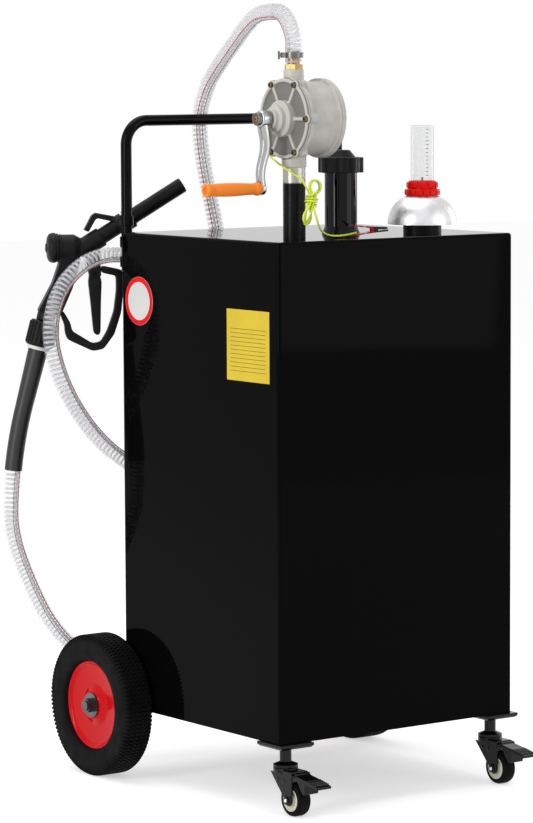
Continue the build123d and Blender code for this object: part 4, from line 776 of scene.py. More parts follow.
def ring_copies(tree, given):
    """Copies of one item round the z axis."""
    index = node(tree, "GeometryNodeInputIndex", "Index", {})
    share = calc(tree, "DIVIDE", index, given["Count"])
    angle = calc(tree, "ADD", calc(tree, "MULTIPLY", share, FULL_TURN), given["Start Angle"])
    turn = node(tree, "ShaderNodeCombineXYZ", "Vector", {"Z": angle})
    points = node(tree, "GeometryNodePoints", "Points", {"Count": given["Count"]})
    return copies_on(tree, given, points, Rotation=turn)


def row_copies(tree, given):
    """Copies of one item in a straight row."""
    inputs = {"Count": given["Count"], "Offset": given["Step"]}
    return copies_on(tree, given, node(tree, "GeometryNodeMeshLine", "Mesh", inputs, mode="OFFSET"))


def winding(tree, given):
    """A wire that winds round a route at a steady distance, or runs along it with no turns."""
    route = node(tree, "GeometryNodeObjectInfo", "Geometry", {"Object": given["Route"]})
    traced = node(tree, "GeometryNodeMeshToCurve", "Curve", {"Mesh": route})
    even = node(tree, "GeometryNodeResampleCurve", "Curve", {"Curve": traced, "Count": given["Points"]})
    share = node(tree, "GeometryNodeSplineParameter", "Factor", {})
    normal = node(tree, "GeometryNodeInputNormal", "Normal", {})
    tangent = node(tree, "GeometryNodeInputTangent", "Tangent", {})
    laps = calc(tree, "MULTIPLY", calc(tree, "MULTIPLY", share, given["Turns"]), FULL_TURN)
    angle = calc(tree, "ADD", laps, given["Start Angle"])
    side = node(tree, "ShaderNodeVectorMath", "Vector", {0: tangent, 1: normal}, operation="CROSS_PRODUCT")
    parts = {}
    for index, (wave, way) in enumerate((("COSINE", normal), ("SINE", side))):
        reach = calc(tree, "MULTIPLY", calc(tree, wave, angle, 0.0), given["Distance"])
        inputs = {0: way, "Scale": reach}
        parts[index] = node(tree, "ShaderNodeVectorMath", "Vector", inputs, operation="SCALE")
    offset = node(tree, "ShaderNodeVectorMath", "Vector", parts, operation="ADD")
    moved = node(tree, "GeometryNodeSetPosition", "Geometry", {"Geometry": even, "Offset": offset})
    inputs = {"Radius": given["Wire Radius"], "Resolution": given["Sides"]}
    section = node(tree, "GeometryNodeCurvePrimitiveCircle", "Curve", inputs)
    inputs = {"Curve": moved, "Profile Curve": section, "Fill Caps": True}
    return node(tree, "GeometryNodeCurveToMesh", "Mesh", inputs)


ITEM_INPUTS = (("Item", "Object", None), ("Count", "Int", 6))
START_INPUT = ("Start Angle", "Float", 0.0)
COAT_INPUT = ("Material", "Material", None)
RING = ("Copies Round An Axis", ring_copies, (*ITEM_INPUTS, START_INPUT, COAT_INPUT))
ROW = ("Copies In A Row", row_copies, (*ITEM_INPUTS, ("Step", "Vector", (0.0, 0.0, 0.01)), COAT_INPUT))
WINDING = (
    "Wire Round A Route",
    winding,
    (
        ("Route", "Object", None),
        ("Turns", "Float", 10.0),
        START_INPUT,
        ("Distance", "Float", 0.01),
        ("Wire Radius", "Float", 0.001),
        ("Points", "Int", 400),
        ("Sides", "Int", 5),
        COAT_INPUT,
    ),
)


def tree_of(name, fill, sockets):
    """The recipe's tree, made on its first use. It ends in Realize Instances and Set Material."""
    tree = bpy.data.node_groups.get(name)
    if tree:
        return tree
    tree = bpy.data.node_groups.new(name, "GeometryNodeTree")
    face = tree.interface
    face.new_socket("Geometry", in_out="INPUT", socket_type="NodeSocketGeometry")
    for label, kind, default in sockets:
        socket = face.new_socket(label, in_out="INPUT", socket_type=f"NodeSocket{kind}")
        if default is not None:
            socket.default_value = default
    face.new_socket("Geometry", in_out="OUTPUT", socket_type="NodeSocketGeometry")
    given = tree.nodes.new("NodeGroupInput").outputs
    real = node(tree, "GeometryNodeRealizeInstances", "Geometry", {"Geometry": fill(tree, given)})
    inputs = {"Geometry": real, "Material": given["Material"]}
    coat = node(tree, "GeometryNodeSetMaterial", "Geometry", inputs)
    tree.links.new(coat, tree.nodes.new("NodeGroupOutput").inputs["Geometry"])
    return tree


def grown(name, recipe, inputs, kind, placement=IN_PLACE, stands_for=(), smooth=32.0):
    """A finished piece that a tree makes, put in its place."""
    tree = tree_of(*recipe)
    host = added("host", bpy.data.meshes.new("host"))
    modifier = host.modifiers.new("Tree", "NODES")
    modifier.node_group = tree
    given = {**inputs, "Material": kind[0]}
    for socket in tree.interface.items_tree:
        if socket.item_type == "SOCKET" and socket.in_out == "INPUT" and socket.name in given:
            modifier[socket.identifier] = given[socket.name]
    mesh = evaluated_mesh(host, name)
    discard(host)
    mesh.transform(placement)
    return settle(added(name, mesh), kind, stands_for, smooth)


def copies(name, form, recipe, inputs, placement, kind, stands_for=(), smooth=32.0):
    """Copies of a form that a tree lays out, as one piece."""
    mesh = mesh_from("item", form)
    smoothed(mesh, smooth)
    item = added("item", mesh)
    piece = grown(name, recipe, {"Item": item, **inputs}, kind, placement, stands_for, smooth)
    discard(item)
    return piece


def copies_round(name, form, count, placement, kind, start=0.0, stands_for=(), smooth=32.0):
    """Copies of a form round an axis, as one piece."""
    inputs = {"Count": count, "Start Angle": start}
    return copies(name, form, RING, inputs, placement, kind, stands_for, smooth)


def copies_along(name, form, count, step, placement, kind):
    """Copies of a form in a row, as one piece."""
    inputs = {"Count": count, "Step": tuple(value * MM for value in step)}
    return copies(name, form, ROW, inputs, placement, kind)


# Routes of the hose and the ground wire, as in the part's source but for three points of the hose
# below its second arch, which were moved


HOSE_RUN = (
    (-106.553, -50.207, 1068.715),
    (-94.289, 8.491, 1070.809),
    (-84.0, 60.0, 1050.0),
    (-72.5, 113.0, 1019.5),
    (-62.8, 161.0, 991.5),
    (-52.0, 210.0, 960.0),
    (-44.6, 245.6, 906.0),
    (-35.0, 247.0, 835.0),
    (-22.0, 240.5, 765.0),
    (-8.5, 238.4, 698.0),
    (4.8, 237.0, 629.6),
    (17.0, 237.0, 546.1),
    (20.0, 238.0, 474.8),
    (-1.0, 239.0, 402.0),
    (-58.0, 241.5, 354.0),
    (-131.0, 245.5, 346.0),
    (-205.0, 251.0, 386.0),
    (-257.3, 256.2, 439.3),
    (-299.0, 259.0, 508.9),
    (-320.0, 258.7, 586.0),
    (-299.0, 254.0, 658.0),
    (-238.0, 247.0, 701.0),
    (-157.0, 245.0, 694.4),
    (-80.0, 256.0, 679.0),
    (-12.0, 269.5, 638.0),
    (40.8, 274.1, 577.5),
    (71.8, 269.8, 509.4),
    (86.0, 264.3, 436.6),
    (88.4, 259.7, 359.0),
    (81.9, 256.5, 280.8),
    (65.6, 256.4, 208.1),
    (35.1, 261.4, 140.0),
    (-11.4, 274.4, 80.1),
    (-70.9, 298.2, 39.8),
    (-138.3, 326.7, 32.0),
    (-209.0, 348.0, 61.0),
    (-259.0, 357.0, 113.0),
    (-298.0, 356.5, 186.0),
    (-331.0, 349.0, 258.0),
    (-340.057, 339.873, 314.474),
    (-335.4, 337.5, 364.2),
)
CUFF_RUN = (
    (-106.553, -50.207, 1068.715),
    (-111.343, -73.129, 1067.897),
    (-118.0, -105.0, 1034.18),
    (-118.0, -105.0, 1010.75),
    (-118.0, -105.0, 992.5),
)
LEAD_RUN = (
    (-143.7, -76.5, 857.0),
    (-142.5, -94.0, 847.5),
    (-140.5, -113.0, 838.5),
    (-139.2, -132.0, 830.5),
)
TAIL_RUN = (
    (-117.0, -165.5, 751.5),
    (-107.5, -162.0, 743.8),
    (-94.0, -158.5, 739.5),
    (-79.0, -155.5, 738.0),
    (-64.0, -153.0, 738.3),
    (-52.0, -151.0, 739.3),
    (-44.0, -150.0, 740.5),
    (-36.5, -150.0, 741.3),
)


def hank_run():
    """Control points of the tied hank: its loops, then the turns that tie it."""
    lean = math.radians(18.0)
    up = Vector((math.sin(lean), 0.0, math.cos(lean)))
    across = Vector((math.cos(lean), 0.0, -math.sin(lean)))
    centre = Vector((-124.0, -150.0, 791.0))
    loops = 3
    wraps = 3
    pitch = 4.0
    places = [(-13.5, 20.0, -1.5), (-2.0, 10.5, 0.0)]
    for loop in range(loops):
        out = pitch * loop
        middle = (1 - loop) * 5.0
        low = abs(middle) / 2 - 36.0
        places += [
            (-2.0, -9.0, out),
            (middle - 5.5, low * 2 / 3, out + 0.5),
            (middle - 2.75, low, out + 1.0),
            (middle + 2.75, low, out + 1.5),
            (middle + 5.5, low * 2 / 3, out + 2.0),
            (2.0, -9.0, out + 2.0),
        ]
        if loop < loops - 1:
            places += [
                (2.0, 9.0, out + 2.0),
                (12.0, 62.0 / 3, out + 2.5),
                (6.0, 31.0, out + 3.0),
                (-6.0, 31.0, out + 3.5),
                (-12.0, 62.0 / 3, out + 4.0),
                (-2.0, 9.0, out + 4.0),
            ]
    places += [(2.0, 12.0, 10.0), (-0.5, 17.0, 14.0)]
    for wrap in range(wraps):
        height = pitch * (1.5 - wrap) + 1.0
        places += [
            (-6.5, height, 14.5),
            (-6.5, height - 1.0, -4.5),
            (6.5, height - 2.0, -4.5),
            (6.5, height - 3.0, 14.5),
        ]
    places += [(-2.17, -10.0, 17.5), (5.0, -20.0, 18.0)]
    return [centre + across * a + up * u - Vector((0.0, o, 0.0)) for a, u, o in places]


def wire_run():
    """Control points of the whole ground wire, from the pump's screw to the clip."""
    hank = hank_run()
    first = (hank[1] - hank[0]).normalized()
    last = (hank[-1] - hank[-2]).normalized()
    return [*LEAD_RUN, hank[0] - first * 12.0, *hank, hank[-1] + last * 10.0, *TAIL_RUN]


def nurbs_line(name, points, bevel=0.0):
    """A smooth line whose control points are given in millimetres."""
    curve = bpy.data.curves.new(name, "CURVE")
    curve.dimensions = "3D"
    curve.resolution_u = 8
    curve.bevel_depth = bevel
    curve.bevel_resolution = 5
    curve.use_fill_caps = bevel > 0
    spline = curve.splines.new("NURBS")
    spline.points.add(len(points) - 1)
    for control, point in zip(spline.points, points):
        control.co = (*[value * MM for value in point], 1.0)
    spline.order_u = 3
    spline.use_endpoint_u = True
    return added(name, curve)


def route_item(points):
    """The route's own points, read from its smooth line, as an item for a tree."""
    line = nurbs_line("route", points)
    line.data.resolution_u = 12
    mesh = evaluated_mesh(line, "route")
    discard(line)
    return added("route", mesh)


def wound(name, points, turns, start, distance, radius, count, sides, kind):
    """A wire that follows a route, as one piece."""
    route = route_item(points)
    inputs = {
        "Route": route,
        "Turns": float(turns),
        "Start Angle": float(start),
        "Distance": distance * MM,
        "Wire Radius": radius * MM,
        "Points": count,
        "Sides": sides,
    }
    piece = grown(name, WINDING, inputs, kind, smooth=0)
    discard(route)
    return piece


def run_length(points):
    """Length of the smooth line through a route's control points, in metres."""
    item = route_item(points)
    spots = item.data.vertices
    total = sum((spots[e.vertices[0]].co - spots[e.vertices[1]].co).length for e in item.data.edges)
    discard(item)
    return total


# Operators


class CADDY_OT_camera(bpy.types.Operator):
    """Places the camera where the photograph was taken from"""

    bl_idname = "caddy.camera"
    bl_label = "Camera"

    def execute(self, context):
        lens = bpy.data.cameras.new("view")
        lens.lens = settings("stage").lens
        lens.sensor_width = 36.0
        lens.clip_end = 60.0
        camera = added("view", lens)
        forward = Vector(CAMERA_FORWARD).to_track_quat("-Z", "Y").to_matrix()
        turn = forward @ Matrix.Rotation(CAMERA_ROLL, 3, "Z")
        camera.matrix_world = Matrix.Translation(CAMERA_PLACE) @ turn.to_4x4()
        context.scene.camera = camera
        context.scene.view_settings.view_transform = "Standard"
        return {"FINISHED"}


class CADDY_OT_hose(bpy.types.Operator):
    """Builds the clear hose with its spiral wire and its two tracer stripes"""

    bl_idname = "caddy.hose"
    bl_label = "Hose"

    def execute(self, context):
        hose = settings("hose")
        wall = vinyl("clear_vinyl", hose.wall_colour, hose.wall_alpha, 0.16)
        spiral = vinyl("spiral_wire", hose.spiral_colour, 0.4, 0.25)
        dark = vinyl("dark_tracer", hose.dark_stripe)
        red = vinyl("red_tracer", hose.red_stripe)
        # Painted highlight: a pale stripe inside the hose, between the two tracers, stands for the glossy
        # wall's specular highlight.
        painted_highlight = vinyl("pale_band", (0.86, 0.86, 0.87), 0.8)
        radius = (hose.radius - WALL_INSET) / MM
        line = nurbs_line("clear_hose", HOSE_RUN, radius * MM)
        line.data.materials.append(wall)
        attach(line, "root")
        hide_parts("hose")
        draft = nurbs_line("draft", CUFF_RUN, radius * MM)
        tube = evaluated_mesh(draft, "hose_cuff_tube")
        discard(draft)
        settle(added("hose_cuff_tube", tube), (wall, "root", "clear_hose"), ("hose_cuff",), 60.0)
        wire = hose.spiral_wire / MM
        for part, run in (("hose", HOSE_RUN), ("cuff", CUFF_RUN)):
            length = run_length(run)
            turns = length / hose.pitch
            count = max(80, int(turns * SPIRAL_POINTS_PER_TURN))
            fine = int(length * STRIPE_POINTS_PER_METRE)
            for label, turn, angle, distance, size, points, sides, coat in (
                ("spiral", turns, 0.4, radius - wire - 0.5, wire, count, 5, spiral),
                # The painted highlight band between the tracers.
                ("pale_band", 0.0, 2.0, radius - 2.6, 1.8, fine, 8, painted_highlight),
                ("dark_tracer", 0.0, 1.6, radius - 0.5, 0.5, fine, 8, dark),
                ("red_tracer", 0.0, 2.35, radius - 0.7, 0.75, fine, 8, red),
            ):
                phase = angle if part == "hose" else math.pi - angle
                kind = (coat, "root", "clear_hose")
                laid = wound(f"{part}_{label}", run, turn, phase, distance, size, points, sides, kind)
        return {"FINISHED"}


class CADDY_OT_ground_wire(bpy.types.Operator):
    """Builds the ground wire with its tied hank, and colours its clip"""

    bl_idname = "caddy.ground_wire"
    bl_label = "Ground Wire"

    def execute(self, context):
        wire = settings("wire")
        points = wire_run()
        line = nurbs_line("ground_wire", points, wire.radius)
        line.data.resolution_u = 6
        line.data.bevel_resolution = 3
        line.data.materials.append(vinyl("yellow_sheath", wire.yellow, 1.0, 0.32))
        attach(line, "root")
        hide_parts("ground_lead", "ground_hank", "ground_tail")
        radius = wire.radius / MM
        kind = (vinyl("green_sheath", wire.green, 1.0, 0.32), "root", "wire_sheath")
        stripes = [
            wound(f"green_stripe_{index}", points, 4.0, start, radius * 0.62, radius * 0.46, 620, 5, kind)
            for index, start in ((1, 0.6), (2, 0.6 + math.pi))
        ]
        coated(banded_clip("clip_enamel"), "clip_lower", "clip_upper")
        return {"FINISHED"}


class CADDY_OT_tank(bpy.types.Operator):
    """Paints the tank, its handle, straps, axle and brackets"""

    bl_idname = "caddy.tank"
    bl_label = "Tank And Handle"

    def execute(self, context):
        coated(gloss_paint("gloss_black_coat"), "tank_shell", "tank_top", "tank_bottom")
        coated(gloss_paint("handle_black_coat", 1.16), "handle", "handle_straps", "axle_brackets")
        coated(plated("dark_zinc", (0.12, 0.12, 0.12), 0.22), "axle", "axle_fasteners")
        coated(plated("bare_steel", (0.42, 0.41, 0.39), 0.34), "dip_tube")
        return {"FINISHED"}


def tread_pitch(depth, pitch_angle):
    """One zigzag bar of the tread, modelled at angle zero about the wheel's axis."""
    crown = ((-24.7, 100.5), (-24.2, 104.6), (-22.6, 108.2), (-20.0, 109.8))
    flat = 18.0
    zigzag = 1.9
    bar_share = 0.34
    top_share = 0.72
    stations = [(along, radius, 0.0) for along, radius in crown]
    for index in range(9):
        stations.append((-flat + 4.5 * index, 109.95, zigzag if index % 2 else -zigzag))
    stations += [(-along, radius, 0.0) for along, radius in reversed(crown)]
    half = pitch_angle * TYRE_RADIUS * bar_share
    form = bmesh.new()
    loops = []
    for along, radius, shift in stations:
        base = radius - depth - (1.2 if abs(along) > 22 else 0.6)
        lean = max(0.0, (abs(along) - flat) / 6.7)
        inward = 1.0 if along > 0 else -1.0
        low = (base + lean * 1.6, along - inward * lean * 3.4)
        high = (radius, along)
        corners = (
            (shift - half, low),
            (shift - half * top_share, high),
            (shift + half * top_share, high),
            (shift + half, low),
        )
        loops.append([round_point(form, tangent / radius, *point) for tangent, point in corners])
    return skinned(form, loops, IN_PLACE)


class CADDY_OT_wheels(bpy.types.Operator):
    """Builds the rear tyres with their tread and the red rims"""

    bl_idname = "caddy.wheels"
    bl_label = "Rear Wheels"

    def execute(self, context):
        wheels = settings("wheels")
        rubber = matte_rubber("solid_rubber")
        red = enamel("red_enamel", wheels.rim_colour, 0.13)
        depth = wheels.tread_depth / MM
        tyre = [
            (16.0, 69.0),
            (22.0, 70.6),
            (23.6, 73.0),
            (24.7, 78.0),
            (24.95, 86.0),
            (24.6, 97.0),
            (23.9, 103.4 - depth * 0.5),
            (21.6, 107.8 - depth),
            (17.0, 109.6 - depth),
        ]
        dish = [
            (16.0, 68.75),
            (17.0, 67.6),
            (16.6, 65.8),
            (14.6, 63.8),
            (12.6, 60.6),
            (10.2, 33.0),
            (11.4, 29.0),
            (14.4, 21.0),
            (17.0, 18.5),
            (17.0, 8.1),
        ]
        tyre = soft_corners(mirrored(tyre), 1.4, 3)
        dish = soft_corners(mirrored(dish), 1.2)
        count = wheels.tread_count
        for side, outward in (("left", -1.0), ("right", 1.0)):
            at_wheel = place_of(centre_of(f"tyre_{side}"), (outward, 0.0, 0.0))
            kind = (rubber, f"wheel_{side}", "tyre_rubber")
            turned(f"tyre_{side}_rubber", tyre, at_wheel, 144, kind, (f"tyre_{side}",), 40.0)
            bar = tread_pitch(depth, FULL_TURN / count)
            copies_round(f"tyre_{side}_tread", bar, count, at_wheel, kind, smooth=30.0)
            kind = (red, f"wheel_{side}", "red_rim")
            turned(f"rim_{side}_enamel", dish, at_wheel, 144, kind, (f"rim_{side}",), 35.0)
        return {"FINISHED"}


class CADDY_OT_casters(bpy.types.Operator):
    """Builds the front casters with their forks, rivets and brake pedals"""

    bl_idname = "caddy.casters"
    bl_label = "Casters"

    def execute(self, context):
        rubber = matte_rubber("solid_rubber")
        black = gloss_paint("caster_black_coat", 1.3)
        cream = enamel("cream_moulding", settings("wheels").caster_rim_colour, 0.3)
        bright = plated("bright_rivet", (0.8, 0.8, 0.8), 0.2)
        coated(black, "caster_plates", "caster_stems")
        tread = [(-7.0, 16.6), (-10.9, 17.4), (-10.9, 21.0), (-9.6, 23.6), (-6.0, 24.9)]
        tread = soft_corners(mirrored(tread), 1.2)
        rim = [(-11.0, 17.2), (-11.0, 15.6), (-8.4, 14.4), (-8.0, 8.6), (-9.6, 7.4)]
        rim += [(-10.4, 6.6), (-10.4, 3.4)]
        rim = soft_corners(mirrored(rim), 0.7, 3)
        rivets = ((-182.0, -54.05, 2.4, 14.55), (-195.9, -54.05, 2.1, 14.55), (-207.0, -82.0, 3.0, 19.4))
        for side in ("left", "right"):
            moulded(f"caster_fork_{side}", black, "caster_plating", 0.7, 3)
            moulded(f"brake_pedal_{side}", black, "caster_plating", 0.6, 3)
            body = f"caster_wheel_{side}"
            centre = centre_of(body)
            at_wheel = place_of(centre, (1.0, 0.0, 0.0))
            kind = (rubber, body, "caster_tread")
            turned(f"caster_tread_{side}", tread, at_wheel, 72, kind, (body,), 40.0)
            kind = (cream, body, "caster_tread")
            turned(f"caster_rim_{side}", rim, at_wheel, 72, kind, (), 40.0)
            kind = (bright, f"caster_{side}", "caster_plating")
            for index, (y, z, radius, reach) in enumerate(rivets):
                head = [(-0.3, 0.0), (-0.3, radius), (0.0, radius), (0.35, radius)]
                head += [(0.9, radius * 0.8), (1.15, radius * 0.35), (1.2, 0.0)]
                for place, flank in (("near", -1.0), ("far", 1.0)):
                    at_head = place_of((centre.x + flank * reach, y, z), (flank, 0, 0))
                    turned(f"rivet_{side}_{place}_{index + 1}", head, at_head, 24, kind, closed=False)
        return {"FINISHED"}


class CADDY_OT_pump(bpy.types.Operator):
    """Builds the rotary pump's castings, screws and outlet"""

    bl_idname = "caddy.pump"
    bl_label = "Pump"

    def execute(self, context):
        pump = settings("pump")
        cast = cast_paint("cast_grey_paint")
        # The cover's paint carries a painted shade on its sunken face.
        cover = cast_paint("cast_grey_cover", True)
        voxel = pump.fillet / MM
        for name, coat in (("pump_body", cast), ("pump_cover", cover), ("pump_back_plate", cast)):
            moulded(name, coat, "pump_casting", voxel, 5)
        coated(plated("ground_steel", (0.4, 0.4, 0.39), 0.35), "pump_rotor")
        coated(satin_plastic("black_moulding"), "pump_vanes")
        kind = (plated("bronzed_screw", (0.15, 0.115, 0.07), 0.4), "root", "screw_plating")
        for label, x, radius, out, height in (
            ("front", PUMP_FACE_X, 57.0, -1.0, 4.0),
            ("back", PUMP_BACK_X, 52.2, 1.0, 2.0),
        ):
            form = screw_form(4.3, height)
            form.transform(Matrix.Translation((radius * MM, 0.0, 0.0)))
            placed = place_of((x, *PUMP_AXIS), (out, 0.0, 0.0))
            name = f"pump_screws_{label}"
            copies_round(name, form, pump.screw_count, placed, kind, stands_for=("pump_screws",))
        coated(plated(*BRASS), "outlet_fitting")
        coated(plated("clamp_steel", (0.16, 0.16, 0.155), 0.3), "hose_clamp")
        coated(two_tone_pipe("pipe_steel"), "riser_pipe")
        return {"FINISHED"}


# The crank arm's knots: height from the pump's axis, x, width and thickness
ARM_KNOTS = (
    (4.0, -173.6, 17.0, 14.6),
    (-8.0, -173.2, 18.0, 14.0),
    (-20.0, -171.4, 18.4, 12.4),
    (-34.0, -169.8, 17.6, 10.6),
    (-46.0, -170.8, 16.8, 9.8),
    (-58.0, -174.6, 15.6, 9.0),
    (-72.0, -178.6, 14.6, 8.6),
    (-86.0, -179.6, 14.4, 8.2),
    (-96.0, -178.0, 15.0, 8.0),
    (-102.0, -177.4, 15.4, 7.6),
)


def between(before, first, second, after, share):
    """A station between two knots, on a smooth line through all of them."""
    made = []
    for a, b, c, d in zip(before, first, second, after):
        bend = (2 * a - 5 * b + 4 * c - d) * share**2 + (3 * b - a - 3 * c + d) * share**3
        made.append(b + 0.5 * ((c - a) * share + bend))
    return tuple(made)


def hub_ring(x, thickness, radius, bore, placed):
    """A rounded boss on the crank's arm, with a bore if there is one."""
    half = thickness / 2
    edge = 1.6
    outline = [
        (-half, bore),
        (-half, radius - edge),
        (-half + edge, radius),
        (half - edge, radius),
        (half, radius - edge),
        (half, bore),
    ]
    outline = soft_corners(outline, 0.9, 3, bore > 0)
    return turned_form(outline, place_of((x, *placed), (1.0, 0.0, 0.0)), 56, bore > 0)


def arm_form():
    """The S-shaped arm with a channel down its front, its two bosses and the grip's bolt."""
    half = [(0.5, 0.3), (0.5, -0.28), (0.42, -0.5), (0.27, -0.5), (0.2, -0.26)]
    section = [(0.42, 0.5), *mirrored(half), (-0.42, 0.5)]
    last = len(ARM_KNOTS) - 1
    stations = []
    for index in range(last):
        around = [ARM_KNOTS[min(max(index + step, 0), last)] for step in (-1, 0, 1, 2)]
        stations += [between(*around, step / 4) for step in range(4)]
    stations.append(ARM_KNOTS[-1])
    arm = spine_form(stations, section, Matrix.Translation(mm(0.0, *PUMP_AXIS)))
    bolt = [(0.0, 0.0), (0.0, 3.6), (94.4, 3.6), (94.6, 4.6), (97.2, 4.2), (97.4, 0.0)]
    bolt = turned_form(bolt, place_of((CRANK_BOLT_X, *CRANK_LOW), (-1.0, 0.0, 0.0)), 28, False)
    hub = hub_ring(CRANK_HUB_X, 17.0, 12.6, 7.4, PUMP_AXIS)
    eye = hub_ring(CRANK_EYE_X, 8.0, 9.0, 0.0, CRANK_LOW)
    return joined(arm, hub, eye, bolt)


class CADDY_OT_crank(bpy.types.Operator):
    """Builds the polished crank arm, its nut and the turned grip"""

    bl_idname = "caddy.crank"
    bl_label = "Crank"

    def execute(self, context):
        polished = plated("polished_aluminium", (0.46, 0.46, 0.46), 0.24, 60.0, 0.01)
        kind = (polished, "crank", "rotor_steel")
        piece_from("crank_arm_casting", arm_form(), kind, ("crank_arm",), 38.0)
        disc = [(-10.0, 0.0), (-10.0, 7.0), (0.0, 7.0), (0.0, 9.6), (4.6, 9.6), (5.4, 9.2)]
        disc += [(5.8, 8.4), (5.8, 5.6), (4.6, 5.0), (4.6, 0.0)]
        front = place_of((CRANK_DISC_X, *PUMP_AXIS), (-1.0, 0.0, 0.0))
        kind = (plated("crank_disc", (0.14, 0.14, 0.14), 0.32), "crank", "screw_plating")
        turned("crank_hub_disc", disc, front, 48, kind, ("crank_nut",), 40.0, False)
        form = screw_form(4.2, 2.2)
        form.transform(place_of((CRANK_SCREW_X, *PUMP_AXIS), (-1.0, 0.0, 0.0)))
        piece_from("crank_hub_screw", form, (plated(*BRASS), "crank", "screw_plating"), (), 40.0)
        orange = enamel("orange_moulding", settings("pump").grip_colour, 0.26)
        low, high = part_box("crank_grip")
        centre = centre_of("crank_grip")
        length = (high.x - low.x) / MM
        outline = [
            (0.0, 4.2),
            (0.0, 8.4),
            (1.8, 9.8),
            (6.0, 10.1),
            (9.5, 9.0),
            (13.0, 8.3),
            (24.0, 8.9),
            (44.0, 9.8),
            (60.0, 10.0),
            (length - 22.0, 9.6),
            (length - 12.0, 8.9),
            (length - 8.5, 9.7),
            (length - 3.0, 10.1),
            (length, 9.2),
            (length, 5.6),
            (length - 4.5, 5.0),
            (length - 4.5, 0.0),
        ]
        outline = [(0.0, 0.0), *soft_corners(outline, 1.6, 4, False)]
        at_grip = place_of((high.x / MM, centre.y, centre.z), (-1.0, 0.0, 0.0))
        kind = (orange, "grip", "orange_grip")
        turned("grip_moulding", outline, at_grip, 72, kind, ("crank_grip",), 40.0, False)
        return {"FINISHED"}


class CADDY_OT_filler(bpy.types.Operator):
    """Builds the filler tube and its lobed cap"""

    bl_idname = "caddy.filler"
    bl_label = "Filler"

    def execute(self, context):
        coat = gloss_paint("filler_black_coat", 1.27)
        coated(coat, "filler_tube")
        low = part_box("filler_cap")[0]
        neck = soft_corners([(-9.0, 21.6), (-7.6, 23.0), (-2.2, 23.0), (-0.8, 21.6)], 0.9, 3)
        at_neck = place_of((*FILLER_AXIS, low.z / MM))
        turned("filler_neck_bead", neck, at_neck, 72, (coat, "root", "black_paint"), (), 40.0)
        moulded("filler_cap", satin_plastic("black_moulding"), "black_plastic", 0.9, 4)
        return {"FINISHED"}


class CADDY_OT_gauge(bpy.types.Operator):
    """Builds the level gauge: dome, locking ring, clear tube and its marks"""

    bl_idname = "caddy.gauge"
    bl_label = "Level Gauge"

    def execute(self, context):
        gauge = settings("gauge")
        coated(satin_plastic("black_moulding"), "gauge_collar", "gauge_float")
        coated(plated("satin_aluminium", (0.7, 0.7, 0.71), 0.36, 140.0, 0.1), "gauge_dome")
        kind = (enamel("red_moulding", gauge.ring_colour, 0.24), "root", "red_plastic")
        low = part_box("gauge_ring")[0]
        at_ring = place_of((*GAUGE_AXIS, low.z / MM))
        ring = [(0.0, 17.8), (0.0, 24.2), (9.8, 24.2), (10.6, 21.6), (20.4, 21.4)]
        ring += [(22.4, 20.4), (22.4, 17.8)]
        turned("gauge_ring_core", soft_corners(ring, 0.8, 3), at_ring, 96, kind, ("gauge_ring",), 40.0)
        for label, count, size, radius, height in (
            ("low", gauge.ring_teeth, (4.4, 8.4, 8.6), 24.7, 5.0),
            ("high", gauge.ring_teeth * 2 // 3, (3.6, 10.2, 8.8), 22.2, 15.8),
        ):
            lobe = slab_form(size, Matrix.Translation(mm(radius, 0.0, height)), 1.5, 3)
            copies_round(f"gauge_ring_lobes_{label}", lobe, count, at_ring, kind, smooth=40.0)
        clear = vinyl("clear_moulding", (0.86, 0.87, 0.88), 0.16, 0.08, 0.02)
        coated(clear, "gauge_tube")
        kind = (enamel("gauge_ink", (0.02, 0.02, 0.022), 0.5), "root", "clear_plastic")
        facing = math.atan2(-CAMERA_FORWARD[1], -CAMERA_FORWARD[0])
        mark = slab_form((0.3, 3.6, 0.8), Matrix.Translation(mm(16.9, 0.0, 0.0)))
        turn = Matrix.Rotation(facing + MARKS_TURN, 4, "Z")
        place = Matrix.Translation(mm(*GAUGE_AXIS, FIRST_MARK_Z)) @ turn
        copies_along("gauge_marks", mark, gauge.mark_count, (0.0, 0.0, MARK_PITCH), place, kind)
        low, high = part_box("gauge_tube")
        band = [(-0.6, 16.4), (-0.6, 17.2), (0.6, 17.2), (0.6, 16.4)]
        for label, height in (("foot", low.z / MM + 1.0), ("lip", high.z / MM - 1.0)):
            at_band = place_of((*GAUGE_AXIS, height))
            turned(f"gauge_tube_{label}", band, at_band, 64, (clear, "root", "clear_plastic"))
        # Painted shade: two dark lines down the clear tube, set at its edges as the camera sees them,
        # stand for the dark rims that the clear wall shows there.
        length = (high.z - low.z) / MM - 4.0
        painted_edge = slab_form((0.5, 0.5, length), Matrix.Translation(mm(16.95, 0.0, 0.0)), 0.15)
        middle = place_of((*GAUGE_AXIS, (high.z + low.z) / 2 / MM))
        kind = (enamel("tube_edge", (0.3, 0.3, 0.31), 0.2), "root", "clear_plastic")
        copies_round("gauge_tube_seams", painted_edge, 2, middle, kind, facing)
        return {"FINISHED"}


GUARD_SHARES = (
    (0.650, 1.000),
    (0.970, 0.947),
    (1.000, 0.902),
    (0.995, 0.692),
    (0.959, 0.451),
    (0.848, 0.195),
    (0.676, 0.023),
    (0.504, 0.000),
    (0.109, 0.139),
    (0.068, 0.218),
    (0.062, 0.316),
    (0.000, 0.420),
    (0.038, 0.484),
    (0.154, 0.338),
    (0.180, 0.241),
    (0.504, 0.090),
    (0.635, 0.109),
    (0.737, 0.241),
    (0.843, 0.466),
    (0.884, 0.707),
    (0.884, 0.876),
    (0.650, 0.914),
)
TRIGGER_SHARES = (
    (0.143, 1.000),
    (0.762, 1.000),
    (1.000, 0.822),
    (0.929, 0.495),
    (0.881, 0.047),
    (0.762, 0.000),
    (0.524, 0.000),
    (0.357, 0.047),
    (0.167, 0.495),
    (0.000, 0.822),
)
